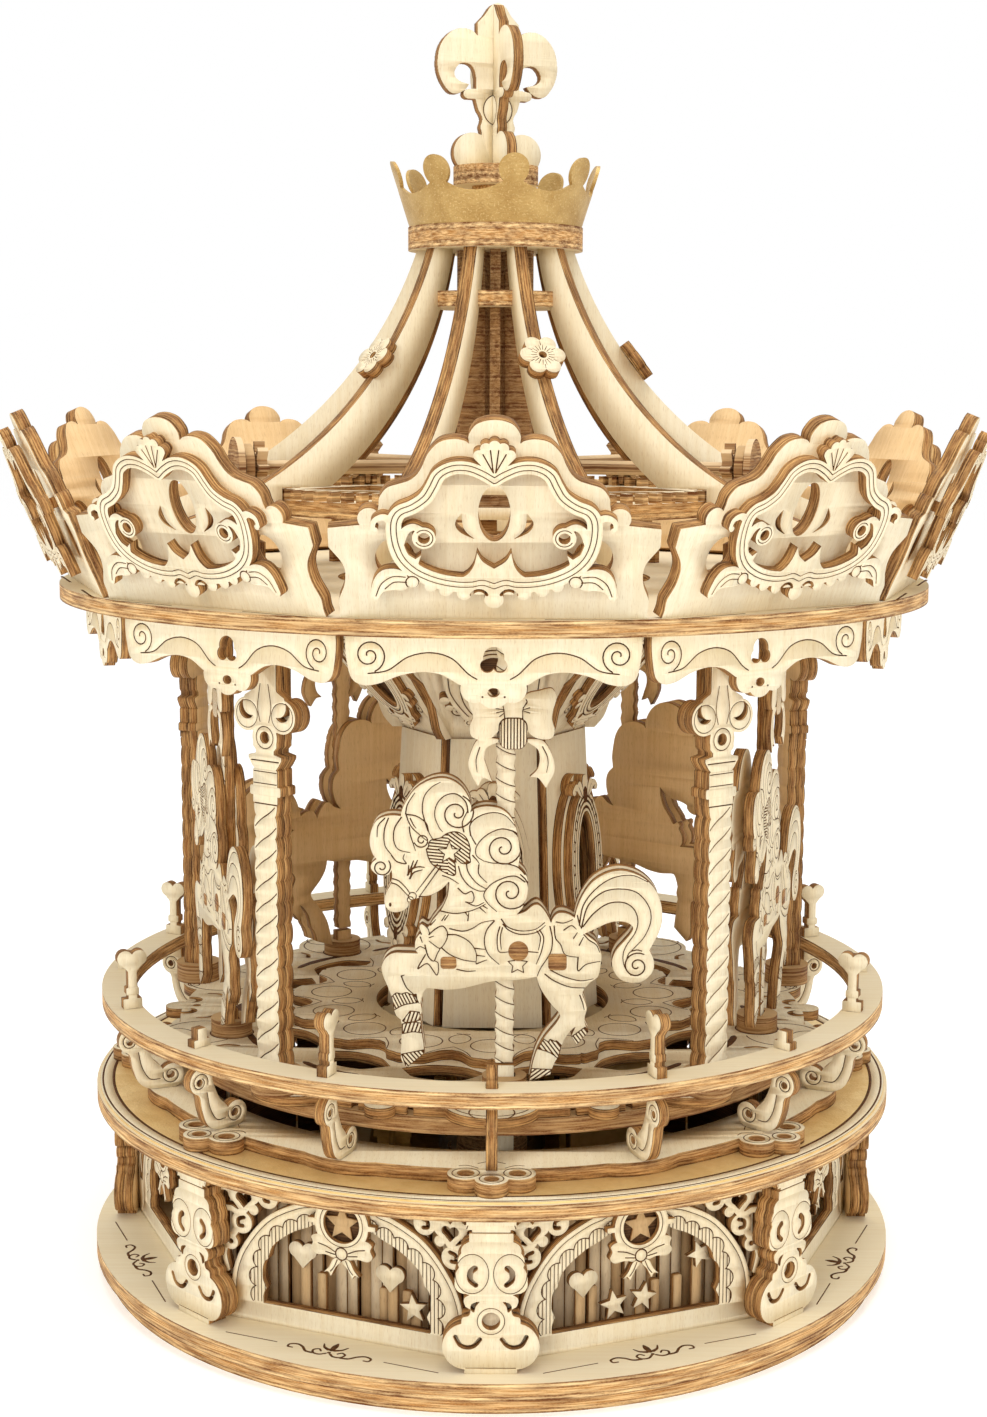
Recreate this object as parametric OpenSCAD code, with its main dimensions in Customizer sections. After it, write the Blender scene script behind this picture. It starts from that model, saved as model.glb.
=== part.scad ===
// Carousel music box: a laser-cut plywood carousel on a round base that hides a wind-up
// movement. Origin: centre of the base's underside. +Z up, the front is towards -Y.
// Azimuths run from the front towards +X.

/* [Plywood] */
// Thickness of the structural plywood: rings, roof disc, crown base
ply = 3.2; // [2.8:0.1:3.6]
// Thickness of the thin plywood: upright ornamental plates, deck layers
thin = 2.2; // [1.8:0.1:2.4]
// Thickness of the gold inlay card and of the crown's sheet
card = 0.4; // [0.3:0.1:0.8]
// Gap left round a tab or a strip in its slot, each side
slot_gap = 0.1; // [0.05:0.05:0.2]

/* [Base] */
// Radius of the lower base disc
base_low_r = 86.5; // [86:0.5:90]
// Radius of the upper base disc
base_up_r = 88.6; // [88:0.2:92]
// Thickness of each base disc
base_ply = 3.5; // [3:0.1:4]
// Height of the wall between the base and the top ring
wall_h = 31.4; // [31:0.2:36]
// Distance from the axis to the front face of the arch panels
arch_d = 74.6; // [74:0.2:76]
// Half width of an arch panel
arch_hw = 28.8; // [26:0.2:29]
// Half width of the arch opening
arch_open_hw = 20.5; // [18:0.5:22]
// Height of the sill under the arch opening
arch_sill = 5.6; // [4:0.2:7]
// Distance from the axis to the outer face of the slatted niche walls
niche_d = 66; // [65:0.5:68]
// Distance from the axis to the outer face of the pillars
pillar_d = 84.4; // [84:0.2:86]
// Thickness of the medallions on the arches
medal_t = 1.6; // [1.2:0.1:2]

/* [Rings and railing] */
// Radius of the top ring of the base
top_ring_r = 87.7; // [87:0.1:90]
// Radius of the hole in the top ring
ring_hole_r = 66; // [65:0.5:68]
// Step from the top ring's edge in to the gold inlay ring
inlay_step = 0.6; // [0.4:0.1:3.6]
// Radius of the wavy plate on the top ring
wavy_r = 77; // [76:0.5:79]
// Width of the wavy plate between its bore and its edge
wavy_w = 10; // [9:0.5:12]
// Thickness of the wavy plate
wavy_t = 2.8; // [2.2:0.1:3.4]
// Distance from the wavy plate's edge out to the middle of the railing posts
post_out = 4.85; // [4.4:0.05:6]
// Width of the rail
rail_w = 6.7; // [6:0.1:8]
// Height of the rail above the wavy plate
rail_h = 14.8; // [14.4:0.2:17]
// Height of the stepped caps above the rail
cap_h = 3.8; // [3:0.2:5]
// Height of the heart posts above the rail
heart_h = 11.4; // [9:0.2:14]

/* [Deck] */
// Step from the deck's top up to the underside of the rail
deck_step = 3.2; // [2.6:0.2:4]
// Room from the middle of the railing posts in to the petals of the deck
deck_gap = 6.45; // [6:0.05:8]
// Radius of the hole in the deck round the centre column
deck_hole_r = 26; // [25.8:0.2:26.4]
// Width of the engraved plate from the hole to its points
plate_w = 19; // [17:0.2:20]
// Height of the raised collar round each horse pole
pole_collar_h = 1.4; // [1:0.1:1.8]
// Height of the collar round each column foot
col_collar_h = 4.4; // [3:0.2:6]

/* [Columns] */
// Distance from the petals' reach in to the middle of the columns
col_inset = 2.8; // [2.6:0.1:3.4]
// Width of a column's shaft
col_w = 5.5; // [4.5:0.1:6.5]
// Height from the deck to the underside of the roof disc
roof_lift = 91.5; // [90:0.1:98]

/* [Centre column] */
// Radius of the turned core below the deck
core_r = 8; // [7:0.5:9]
// Radius of the core inside the column
core_neck_r = 6; // [5:0.5:7]
// Distance from the axis to the panels' outer face at the foot
hex_low_d = 20.9; // [20.4:0.1:21]
// The same at the panels' top
hex_top_d = 18; // [17:0.5:19]
// Height of the panels
hex_h = 62.6; // [59:0.2:65]
// Height and half width of a mirror frame
mirror_h = 39; // [34:1:42]
mirror_hw = 8.2; // [7:0.2:8.6]
// Distance from the axis to the cornice's upper edge
cornice_d = 38; // [34:0.5:40]

/* [Roof] */
// How far the roof disc reaches past the inner face of the boards
roof_lip = 7; // [6.6:0.2:10]
// Radius of the hole in the roof disc
roof_hole_r = 34; // [30:1:40]
// Room from the middle of the columns out to the inner face of the boards at their foot
board_gap = 13.4; // [13:0.1:13.8]
// Outward lean of the boards
board_lean = 22; // [18:1:24]
// Gap between a board's foot and the corner it shares with the next
board_seam = 0.54; // [0.4:0.02:2]
// Height of a board to its top
board_h = 37.8; // [35:0.2:40]
// Thickness of a board
board_t = 2.6; // [2.2:0.1:3]
// Step from the inner face of the boards in to the outer face of the valances
valance_inset = 1; // [0:0.25:3]
// Height of the crown base above the roof disc
spire_h = 69.4; // [68.8:0.2:71]
// Thickness of a roof rib
rib_t = 2.9; // [2.4:0.1:3.2]
// Radius of the crown base
crown_base_r = 18.6; // [18.2:0.2:20]
// Thickness of the crown base
crown_base_t = 4.8; // [4:0.2:6]
// Height of the finial plates
finial_h = 33.5; // [32:0.5:36]

/* [Horses] */
// Distance from the petals' reach in to the middle of the horse poles
pole_inset = 15.7; // [15.4:0.1:17]
// Sideways offset of a pole from its horse's middle line
pole_x = 2.4; // [1.5:0.1:3]
// Width of a pole
pole_w = 3.8; // [3.4:0.1:4.4]
// Throw of the cranks: half of the horses' travel
throw = 4.6; // [4:0.1:4.8]

/* [Gears] */
// Distance from the middle of the horse poles in to the crown wheel's pitch line
crown_inset = 7.95; // [7.9:0.05:8.2]
// Teeth of the crank pinions
pinion_n = 8; // [8:1:8]
// Teeth of the crown wheel
crown_n = 90; // [90:1:90]
// Module of the deck gear and the drive gear
drive_m = 1.5; // [1.4:0.05:1.6]
// Teeth of the deck gear
deck_gear_n = 36; // [36:1:36]
// Teeth of the drive gear
drive_n = 12; // [12:1:12]
// Radius of the crank axles
axle_r = 1.5; // [1.2:0.1:1.8]
// Radial play of a shaft in its bore
play = 0.06; // [0.02:0.01:0.1]

/* [Movement] */
// Radius of the spring housing
spring_r = 13; // [11:0.5:14]
// Height of the spring housing
spring_h = 11; // [10:0.5:13]
// Radius of the winding knob
knob_r = 16; // [14:0.5:18]
// Radius and length of the pinned cylinder
drum_r = 6; // [5:0.5:6]
drum_len = 20; // [16:1:20]

/* [Hidden] */
$fn = 64;

// Colours of the finishes
c_wood = [0.93, 0.83, 0.66];
c_dark = [0.62, 0.40, 0.20];
c_gold = [0.78, 0.60, 0.28];
c_brass = [0.80, 0.66, 0.34];
c_steel = [0.66, 0.67, 0.69];

// Counts: base sides, railing posts, horses and columns, roof sides, hexagon
sides = 8;
posts = 16;
rides = 5;
bays = 10;
faces = 6;

// Heights, from the base up
z_base = 2*base_ply;
z_ring = z_base + wall_h;
z_inlay = z_ring + ply;
z_wavy = z_inlay + card;
z_wavy_top = z_wavy + wavy_t;
z_rail = z_wavy_top + rail_h;
z_rail_top = z_rail + ply;
z_deck = z_rail - deck_step;
z_lattice_top = z_deck - thin;
z_lattice = z_lattice_top - thin;
z_gear = z_lattice - ply;
z_roof = z_deck + roof_lift;
z_roof_top = z_roof + ply;
z_axle = z_roof_top + 23.9;
z_crown_base = z_roof_top + spire_h;
z_crown = z_crown_base + crown_base_t;
z_cap = z_crown + 8.7;
z_finial = z_cap + 4;
z_column = z_deck - 1;
z_cornice = z_column + hex_h + 0.05;
z_cornice_top = z_roof - thin - 2.3;

// Radii, from the railing inwards, and those of the roof
inlay_r = top_ring_r - inlay_step;
post_r = wavy_r + post_out;
rail_r = post_r + 1 + rail_w/2;
deck_r = post_r - deck_gap;
deck_plate_r = deck_hole_r + plate_w;
col_d = deck_r - col_inset;
pole_d = deck_r - pole_inset;
crown_r = pole_d - crown_inset;
crown_m = 2*crown_r/crown_n;
board_d = col_d + board_gap;
board_hw = board_d*tan(180/bays) - board_seam;
roof_r = board_d + roof_lip;
valance_d = board_d - valance_inset;

// Gear geometry
pinion_r = crown_m*pinion_n/2;
add = 0.9;
crown_top = z_axle - pinion_r + 0.8;
crown_foot = crown_top - 2.1;
deck_gear_r = drive_m*deck_gear_n/2;
drive_r = drive_m*drive_n/2;
move_y = deck_gear_r + drive_r;
drive_crown_n = 24;
drive_crown_r = crown_m*drive_crown_n/2;
z_drum_crown = z_base + 2 + spring_h + 0.5;
z_drum = z_drum_crown + 1.6 + 2.1 - 0.8 + pinion_r;

// Layers round the horse poles
pole_in = pole_d - thin/2;
pole_out = pole_d + thin/2;
pin_gap = 0.4;
disc_out = pole_in - pin_gap - 1;
disc_in = disc_out - 1.4;
bracket_t = 1.8;
bracket_out = disc_in - 0.4;
z_yoke = z_axle - throw;

// ---------------------------------------------------------------- helpers

// Copies round the axis
module ring_of(n, first = 0) {
    for (i = [0:n - 1]) rotate([0, 0, first + i*360/n]) children();
}

// A flat outline stood upright, facing outwards: its inner face is d from the axis,
// it is t thick, and the outline's y is the height above z0. lean tips its top outwards.
module upright(d, z0, t, lean = 0) {
    translate([0, -d, z0]) rotate([90 + lean, 0, 0]) linear_extrude(t) children();
}

// A flat outline stood in a radial plane at azimuth 0: x is the radius, y the height.
module radial(t) {
    rotate([0, 0, -90]) translate([0, t/2, 0]) rotate([90, 0, 0]) linear_extrude(t) children();
}

// Both mirror halves of an outline
module both() {
    children();
    mirror([1, 0]) children();
}

// A flat ring
module band(r_out, r_in, t) {
    difference() {
        cylinder(r = r_out, h = t, $fn = 128);
        translate([0, 0, -1]) cylinder(r = r_in, h = t + 2, $fn = 128);
    }
}

// An ellipse as a polygon
module oval(rx, ry, n = 40) {
    polygon([for (i = [0:n - 1]) [rx*cos(i*360/n), ry*sin(i*360/n)]]);
}

// A rectangle centred in x with its foot at y
module block(hw, y0, y1) {
    translate([-hw, y0]) square([2*hw, y1 - y0]);
}

module disc_at(x, y, r) {
    translate([x, y]) circle(r = r, $fn = 32);
}

// A pointed star with n points
module star(n, r, q) {
    polygon([for (i = [0:2*n - 1]) let (s = i % 2 == 0 ? r : q, a = 90 + i*180/n)
        [s*cos(a), s*sin(a)]]);
}

// A heart, its middle at the origin, w half of its width
module heart(w) {
    both() disc_at(w/2, w*0.35, w*0.55);
    polygon([[-0.98*w, w*0.1], [0, w*0.3], [0.98*w, w*0.1], [0, -w*1.1]]);
}

// Outline of a spur gear: straight-flanked teeth, one centred on +y
module gear_outline(n, r, tip, root, w_tip, w_root) {
    polygon([for (i = [0:n - 1], k = [0:3])
        let (a = 90 + i*360/n, s = k < 2 ? 1 : -1, outer = k == 1 || k == 2,
             w = outer ? w_tip : w_root, q = outer ? r + tip : r - root,
             b = a - s*asin(w/2/q))
        [q*cos(b), q*sin(b)]]);
}

// Upright teeth of a crown wheel, standing on z = 0, with a gap at azimuth 0
module crown_teeth(n, r, h, w) {
    difference() {
        translate([0, 0, -0.5]) band(r + 1.3, r - 1.3, h + 0.5);
        for (i = [0:n - 1]) rotate([0, 0, i*360/n])
            translate([w/2 - PI*r/n, -r - 3, 0]) cube([2*PI*r/n - w, 6, h + 1]);
    }
}

// ---------------------------------------------------------------- base

// Lower base disc, with the recess for the winding knob
module base_disc_lower() color(c_wood) difference() {
    cylinder(r = base_low_r, h = base_ply, $fn = 128);
    translate([0, move_y, -1]) cylinder(r = knob_r + 1.5, h = base_ply + 2);
}

// Upper base disc, with the hole for the winding shaft
module base_disc_upper() color(c_wood) translate([0, 0, base_ply]) difference() {
    cylinder(r = base_up_r, h = base_ply, $fn = 128);
    translate([0, move_y, -1]) cylinder(r = 3, h = base_ply + 2);
}

// One arch panel: arch opening on a sill, openwork spandrels
module arch_outline() {
    spring_y = 17.5;
    difference() {
        block(arch_hw, 0, wall_h);
        intersection() {
            union() {
                translate([0, arch_sill]) block(arch_open_hw, 0, spring_y - arch_sill);
                translate([0, spring_y]) oval(arch_open_hw, wall_h - 5.9 - spring_y);
                both() for (a = [18:24:90]) translate([arch_open_hw*0.96*cos(a),
                    spring_y + (wall_h - 6.6 - spring_y)*sin(a)]) circle(r = 2, $fn = 24);
            }
            block(arch_hw, arch_sill, wall_h - 4);
        }
        both() {
            polygon([[16.5, wall_h - 1.4], [21, wall_h - 1.4], [19, wall_h - 5]]);
            disc_at(23.6, wall_h - 4, 1.9);
            disc_at(26, wall_h - 9, 1.5);
            polygon([[26, 12], [27.2, 12], [27.2, wall_h - 12], [25.4, wall_h - 12.6]]);
        }
    }
}

module arch_panels() color(c_wood) ring_of(sides, 180/sides)
    upright(arch_d - thin, z_base, thin) arch_outline();

// Slatted backs of the niches
module niche_walls() color(c_dark) ring_of(sides, 180/sides)
    upright(niche_d - thin, z_base, thin) difference() {
        block((niche_d - thin)*tan(180/sides) - 0.4, 0, wall_h);
        for (x = [-20:5:20]) translate([x - 0.4, 4]) square([0.8, wall_h - 9]);
    }

// One pillar outline: double scrolls over a round foot, with a ring hole
module pillar_outline() {
    difference() {
        union() {
            block(3.9, 0, 4);
            both() {
                disc_at(4.7, 5.5, 4.6);
                disc_at(4.6, 18.3, 2.6);
                disc_at(3.2, 22, 3.4);
            }
            polygon([[-4.6, 1], [4.6, 1], [3.4, 9.5], [3.1, 14], [4.6, 17], [3.2, 25.6],
                [-3.2, 25.6], [-4.6, 17], [-3.1, 14], [-3.4, 9.5]]);
            block(4, 25, wall_h - 3);
            block(5.4, wall_h - 3.6, wall_h);
        }
        disc_at(0, 10.3, 1.7);
        both() {
            disc_at(3.9, 20.6, 0.9);
            polygon([[2, 5.4], [4.6, 4.6], [7, 6.4], [6.4, 7], [4.4, 5.8], [2.4, 6.6]]);
        }
    }
}

// Each pillar is laminated from two plates of one outline
module pillars() color(c_wood) ring_of(sides) {
    upright(pillar_d - thin, z_base, thin) pillar_outline();
    upright(pillar_d - 2*thin + 0.2, z_base, thin - 0.2) pillar_outline();
}

// A ring with a star and a bow, hung on the top of each arch
module medallions() color(c_wood) ring_of(sides, 180/sides)
    upright(arch_d, z_base, medal_t) {
        difference() {
            disc_at(0, wall_h - 8, 5.2);
            disc_at(0, wall_h - 8, 3.9);
        }
        translate([0, wall_h - 8]) star(5, 4.3, 2);
        both() polygon([[0, wall_h - 13], [2, wall_h - 14], [6.4, wall_h - 11.6],
            [6.6, wall_h - 15.4], [2.4, wall_h - 15.6], [4.4, wall_h - 19.4],
            [2.4, wall_h - 20], [0, wall_h - 15]]);
    }

// ---------------------------------------------------------------- rings and railing

module top_ring() color(c_wood) translate([0, 0, z_ring]) band(top_ring_r, ring_hole_r, ply);

module inlay_ring() color(c_gold) translate([0, 0, z_inlay]) band(inlay_r, ring_hole_r + 5, card);

// The clover that stands over each pillar, in plan
module clover() {
    both() disc_at(4.9, -wavy_r - 2.2, 3.5);
    disc_at(0, -wavy_r - 5.2, 3.2);
    disc_at(0, -wavy_r + 0.5, 6.5);
}

module clover_holes() {
    both() disc_at(4.9, -wavy_r - 2.2, 1.8);
    disc_at(0, -wavy_r - 5.2, 1.6);
}

module wavy_ring() color(c_wood) translate([0, 0, z_wavy]) linear_extrude(wavy_t) difference() {
    union() {
        circle(r = wavy_r, $fn = 128);
        ring_of(sides) clover();
        ring_of(sides, 180/sides) disc_at(0, -wavy_r + 16, 17.4);
    }
    circle(r = wavy_r - wavy_w, $fn = 128);
    ring_of(sides) clover_holes();
}

// The S-scroll of a railing post, radius and height above the wavy plate
module scroll_outline() {
    difference() {
        union() {
            disc_at(post_r - 8.2, 2.6, 2.6);
            polygon([[post_r - 7, 0], [post_r - 3.2, 0.8], [post_r - 0.2, 5], [post_r + 0.9, 10],
                [post_r + 0.9, rail_h], [post_r - 1.7, rail_h], [post_r - 2.8, 10.4],
                [post_r - 4.6, 5.6], [post_r - 6.4, 3.8]]);
            disc_at(post_r + 0.2, rail_h - 4, 2.7);
        }
        disc_at(post_r - 8.2, 2.6, 0.8);
        disc_at(post_r + 0.5, rail_h - 4, 0.8);
    }
}

tab_r0 = post_r - 1.2;
tab_w = 2.4;

// Railing posts: stepped caps over the pillars, hearts between them
module balusters() color(c_wood) {
    ring_of(sides) translate([0, 0, z_wavy_top]) radial(thin) {
        scroll_outline();
        translate([tab_r0, rail_h - 1]) square([tab_w, ply + 2]);
        translate([tab_r0 - 0.8, rail_h + ply]) square([tab_w + 1.6, cap_h*0.4]);
        translate([tab_r0, rail_h + ply]) square([tab_w, cap_h]);
    }
    ring_of(sides, 180/sides) translate([0, 0, z_wavy_top]) radial(thin) {
        scroll_outline();
        translate([tab_r0, rail_h - 1]) square([tab_w, ply + 2]);
        translate([tab_r0 - 0.8, rail_h + ply]) square([tab_w + 1.6, 2.2]);
        translate([tab_r0 + 0.2, rail_h + ply]) square([tab_w - 0.4, heart_h - 3]);
        translate([tab_r0 + tab_w/2, rail_h + ply + heart_h - 2.4]) heart(2.3);
    }
}

module rail_ring() color(c_wood) translate([0, 0, z_rail]) difference() {
    band(rail_r, rail_r - rail_w, ply);
    ring_of(posts) translate([-thin/2 - slot_gap, -tab_r0 - tab_w - slot_gap, -1])
        cube([thin + 2*slot_gap, tab_w + 2*slot_gap, ply + 2]);
}

// ---------------------------------------------------------------- centre column

// The turned core: foot, thrust flange under the deck gear, neck and top spindle
thrust_top = z_gear - 0.1;
floor_z = z_column;
neck_top = crown_foot;
module column_core() color(c_dark) {
    translate([0, 0, z_base]) cylinder(r = core_r + 3, h = thin);
    translate([0, 0, z_base]) cylinder(r = core_r, h = floor_z - z_base);
    translate([0, 0, thrust_top - ply]) cylinder(r = 1.5*core_r, h = ply);
    translate([0, 0, z_lattice + 1]) cylinder(r = 1.5*core_r, h = floor_z - z_lattice - 1);
    translate([0, 0, z_base]) cylinder(r = core_neck_r, h = neck_top - z_base);
    translate([0, 0, crown_foot - ply - thin]) cylinder(r = 1.5*core_neck_r, h = thin);
    translate([0, 0, neck_top - 1]) cylinder(r = 2*axle_r, h = 3);
    translate([0, 0, neck_top - 1]) cylinder(r = axle_r, h = 8.2);
}

// A hexagonal plate whose flats are d from the axis, bored for the core
module hex_floor(z, d, hole, t) {
    translate([0, 0, z]) difference() {
        linear_extrude(t) circle(r = d/cos(30), $fn = 6);
        translate([0, 0, -1]) cylinder(r = hole, h = t + 2);
    }
}

// The plates inside the column that hold its panels, and the cornice's cap
hex_lean = atan((hex_top_d - hex_low_d)/hex_h);
module column_floors() color(c_wood) {
    hex_floor(floor_z, hex_low_d - thin + thin*tan(hex_lean) - 0.02, core_neck_r, thin);
    hex_floor(z_cornice - thin - 0.5, hex_top_d - thin - 0.02, core_neck_r, thin);
    translate([0, 0, z_cornice_top]) difference() {
        cylinder(r = cornice_d + 5, h = thin, $fn = 96);
        translate([0, 0, -1]) cylinder(r = core_neck_r, h = thin + 2);
    }
}

// Six panels that lean together towards the top
panel_hw = hex_low_d*tan(30) - 1.3;
panel_top_hw = hex_top_d*tan(30) - 1.3;
module column_panels() color(c_wood) ring_of(faces)
    upright(hex_low_d - thin, z_column, thin, hex_lean)
        polygon([[-panel_hw, 0], [panel_hw, 0], [panel_top_hw, hex_h], [-panel_top_hw, hex_h]]);

// Oval mirror frames, two plies deep, one on each panel
module mirror_frames() color(c_wood) ring_of(faces)
    upright(hex_low_d + 0.01, z_column, 2*thin, hex_lean) translate([0, hex_h*0.54]) difference() {
        union() {
            oval(mirror_hw, mirror_h/2 - 1.5);
            disc_at(0, mirror_h/2 - 2.4, 2.4);
            disc_at(0, 2.4 - mirror_h/2, 2.4);
        }
        oval(mirror_hw - 3, mirror_h/2 - 6);
    }

// The flared cornice: six leaning panels and six radial ribs at the corners
cornice_h = z_cornice_top - z_cornice;
cornice_lean = atan((cornice_d - hex_top_d)/cornice_h);
cornice_len = cornice_h/cos(cornice_lean) - thin*tan(cornice_lean);
cornice_top_hw = (hex_top_d + cornice_len*sin(cornice_lean))*tan(30) - 2.2;
module column_cornice() color(c_wood) {
    ring_of(faces) upright(hex_top_d - thin, z_cornice + thin*sin(cornice_lean), thin,
        cornice_lean) polygon([[-panel_top_hw, 0], [panel_top_hw, 0],
        [cornice_top_hw, cornice_len], [-cornice_top_hw, cornice_len]]);
    ring_of(faces, 30) radial(thin) translate([0, z_cornice]) intersection() {
        polygon([[hex_top_d/cos(30) - 2, 0], [hex_top_d/cos(30) + 1.6, 0],
            [cornice_d/cos(30) + 3, cornice_h], [cornice_d/cos(30) - 8, cornice_h]]);
        translate([0, -1]) square([cornice_d + 4.6, cornice_h + 2]);
    }
}

// The fixed wheel on top of the core that the crank pinions roll on; its openings end
// this far inside the pitch line and leave spokes between them
wheel_in = 6.5;
wheel_gap = (crown_r - wheel_in)*tan(180/bays) - 2.1;
module crown_wheel() color(c_wood) translate([0, 0, crown_foot - ply]) {
    linear_extrude(ply) difference() {
        circle(r = crown_r + 1.45, $fn = 128);
        circle(r = core_neck_r);
        ring_of(bays, 18) polygon([[-1.6, -10], [1.6, -10], [wheel_gap, wheel_in - crown_r],
            [-wheel_gap, wheel_in - crown_r]]);
    }
    translate([0, 0, ply]) crown_teeth(crown_n, crown_r, 2.1, 1.3);
}

// ---------------------------------------------------------------- movement

bed_z = z_base;
bed_t = 2;
fan_x = -24;
fan_y = move_y - 6;
drum_x = drive_crown_r + 4.6;
comb_y = move_y - drum_r - 0.3;

// Die-cast bedplate with the cylinder's bearing posts and the governor's bracket
module bedplate() color(c_brass) difference() {
    union() {
        translate([-30, 13, bed_z]) cube([72, 37, bed_t]);
        for (x = [drum_x - 2, drum_x + drum_len + 0.4])
            translate([x, move_y - 4, bed_z]) cube([1.6, 8, z_drum - bed_z + 3]);
        translate([drum_x, 13, bed_z]) cube([drum_len, 7, z_drum - bed_z - 0.5]);
        translate([fan_x - 4, fan_y + 6.5, bed_z]) cube([8, 2, 19]);
        translate([fan_x - 4, fan_y - 3, bed_z + 17.6]) cube([8, 10, 1.4]);
    }
    translate([0, move_y, bed_z - 1]) cylinder(r = 3, h = bed_t + 2);
    translate([drum_x - 5, move_y, z_drum]) rotate([0, 90, 0]) cylinder(r = 1 + play, h = drum_len + 10);
    translate([fan_x, fan_y, bed_z + 17]) cylinder(r = 0.8 + play, h = 3);
    translate([fan_x, fan_y, bed_z + 1]) cylinder(r = 0.8 + play, h = 2);
}

// Round housing of the mainspring, on the bedplate
module spring_housing() color(c_steel) translate([0, move_y, bed_z + bed_t]) difference() {
    cylinder(r = spring_r, h = spring_h);
    translate([0, 0, -1]) cylinder(r = 2.5 + play, h = 6);
    translate([0, 0, spring_h - 5]) cylinder(r = 2 + play, h = 6);
}

// Steel comb: teeth that end just short of the cylinder
teeth = 15;
module tone_comb() color(c_steel) translate([drum_x + 0.5, 13, z_drum - 0.5]) {
    cube([drum_len - 1, 8, 1]);
    for (i = [0:teeth - 1]) translate([0.2 + i*(drum_len - 1.6)/(teeth - 1), 7, 0])
        cube([0.8, comb_y - 20, 1]);
}

// Comb screws and bedplate screws
module screws() color(c_steel) {
    for (x = [drum_x + 4, drum_x + drum_len - 4]) translate([x, 16.5, z_drum + 0.5])
        cylinder(r = 1.8, h = 1.2);
    for (p = [[-27, 16], [10, 16], [-27, 47], [35, 47]])
        translate([p[0], p[1], bed_z + bed_t]) cylinder(r = 2, h = 1.4);
}

// Winding knob in its recess under the base, with its shaft
module wind_key() color(c_wood) translate([0, move_y, 0]) {
    translate([0, 0, base_ply - 1.5]) cylinder(r = knob_r, h = 1.1);
    translate([-knob_r*0.8, -2.5, 0.6]) cube([knob_r*1.6, 5, base_ply - 1.8]);
    translate([0, 0, 0.6]) cylinder(r = 2.5, h = bed_z + bed_t + 4.2 - 0.6);
}

// Output shaft of the spring: drive gear under the deck, contrate wheel for the cylinder
module drive_gear() color(c_brass) translate([0, move_y, 0]) {
    translate([0, 0, bed_z + bed_t + spring_h - 4.6])
        cylinder(r = 2, h = z_lattice - 0.3 - (bed_z + bed_t + spring_h - 4.6));
    translate([0, 0, z_gear + 0.3]) linear_extrude(ply - 0.6)
        gear_outline(drive_n, drive_r, 1.2, 1.9, 0.9, 2.6);
    translate([0, 0, z_drum_crown]) band(drive_crown_r + 1.5, 1.9, 1.6);
    translate([0, 0, z_drum_crown + 1.6]) crown_teeth(drive_crown_n, drive_crown_r, 2.1, 1.3);
}

// Pinned cylinder, with its pinion over the contrate wheel
module pin_cylinder() color(c_brass) translate([0, move_y, z_drum]) {
    translate([drum_x, 0, 0]) rotate([0, 90, 0]) cylinder(r = drum_r, h = drum_len);
    translate([drive_crown_r - 1.1, 0, 0]) rotate([90, 0, 90]) linear_extrude(thin)
        rotate(180) gear_outline(pinion_n, pinion_r, add, 1.3, 1.1, 1.5);
    translate([drive_crown_r - 1.6, 0, 0]) rotate([0, 90, 0]) cylinder(r = 1, h = drum_len + 9.6);
}

// Air brake: two vanes on a steel arbor
module governor_fan() color(c_brass) translate([fan_x, fan_y, 0]) {
    translate([0, 0, bed_z + 1.1]) cylinder(r = 0.8, h = 18);
    translate([-4.6, -0.4, bed_z + 6]) cube([9.2, 0.8, 7]);
}

// ---------------------------------------------------------------- deck

// Slot for a pole, in plan
module pole_slot(grow = slot_gap + 0.2) {
    translate([pole_x - pole_w/2 - grow, -pole_out - grow])
        square([pole_w + 2*grow, thin + 2*grow]);
}

// Engraved centre plate with ten points
plate_lobes = 3*rides;
notch = 6.2;
module deck_plate() color(c_wood) translate([0, 0, z_lattice_top]) linear_extrude(thin) difference() {
    polygon([for (i = [0:plate_lobes - 1], p = [[-4.5, 0], [4.5, 0], [180/plate_lobes, notch]])
        let (a = i*360/plate_lobes + p[0], r = deck_plate_r - p[1]) [r*sin(a), -r*cos(a)]]);
    circle(r = deck_hole_r, $fn = 96);
}

// Openwork plate under it, whose petals carry the columns. Behind each notch of the upper
// plate it has a curved opening.
petal_r = 9.4;
opening_out = deck_plate_r + 8.6;
module deck_opening() {
    hw = (deck_plate_r + 3.9)*sin(180/plate_lobes - 1.7);
    deep = (deck_plate_r + 3.9)*cos(180/plate_lobes - 1.7);
    polygon([[0, notch - 5 - deck_plate_r], [hw, -deep], [0.62*hw, 1.1 - opening_out],
        [0, -opening_out], [-0.62*hw, 1.1 - opening_out], [-hw, -deep]]);
}

module deck_lattice() color(c_wood) translate([0, 0, z_lattice]) linear_extrude(thin) difference() {
    union() {
        circle(r = deck_r - 6, $fn = 128);
        ring_of(bays) disc_at(0, petal_r - deck_r, petal_r);
        ring_of(bays, 18) disc_at(0, 3 - deck_r + 2, 3);
    }
    circle(r = deck_hole_r, $fn = 96);
    ring_of(rides) pole_slot();
    ring_of(bays, 18) both() disc_at(4.4, 7.4 - deck_r, 2.2);
    ring_of(plate_lobes, 180/plate_lobes) deck_opening();
}

module deck_rim() color(c_dark) translate([0, 0, z_gear]) band(post_r - 12, pole_out + 1.6, ply);

// Ring gear under the deck, bored to run on the core
module deck_gear() color(c_wood) translate([0, 0, z_gear]) difference() {
    linear_extrude(ply) rotate(180/deck_gear_n)
        gear_outline(deck_gear_n, deck_gear_r, 1.2, 1.9, 0.9, 2.6);
    translate([0, 0, -1]) cylinder(r = core_r + play, h = ply + 2);
}

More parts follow.
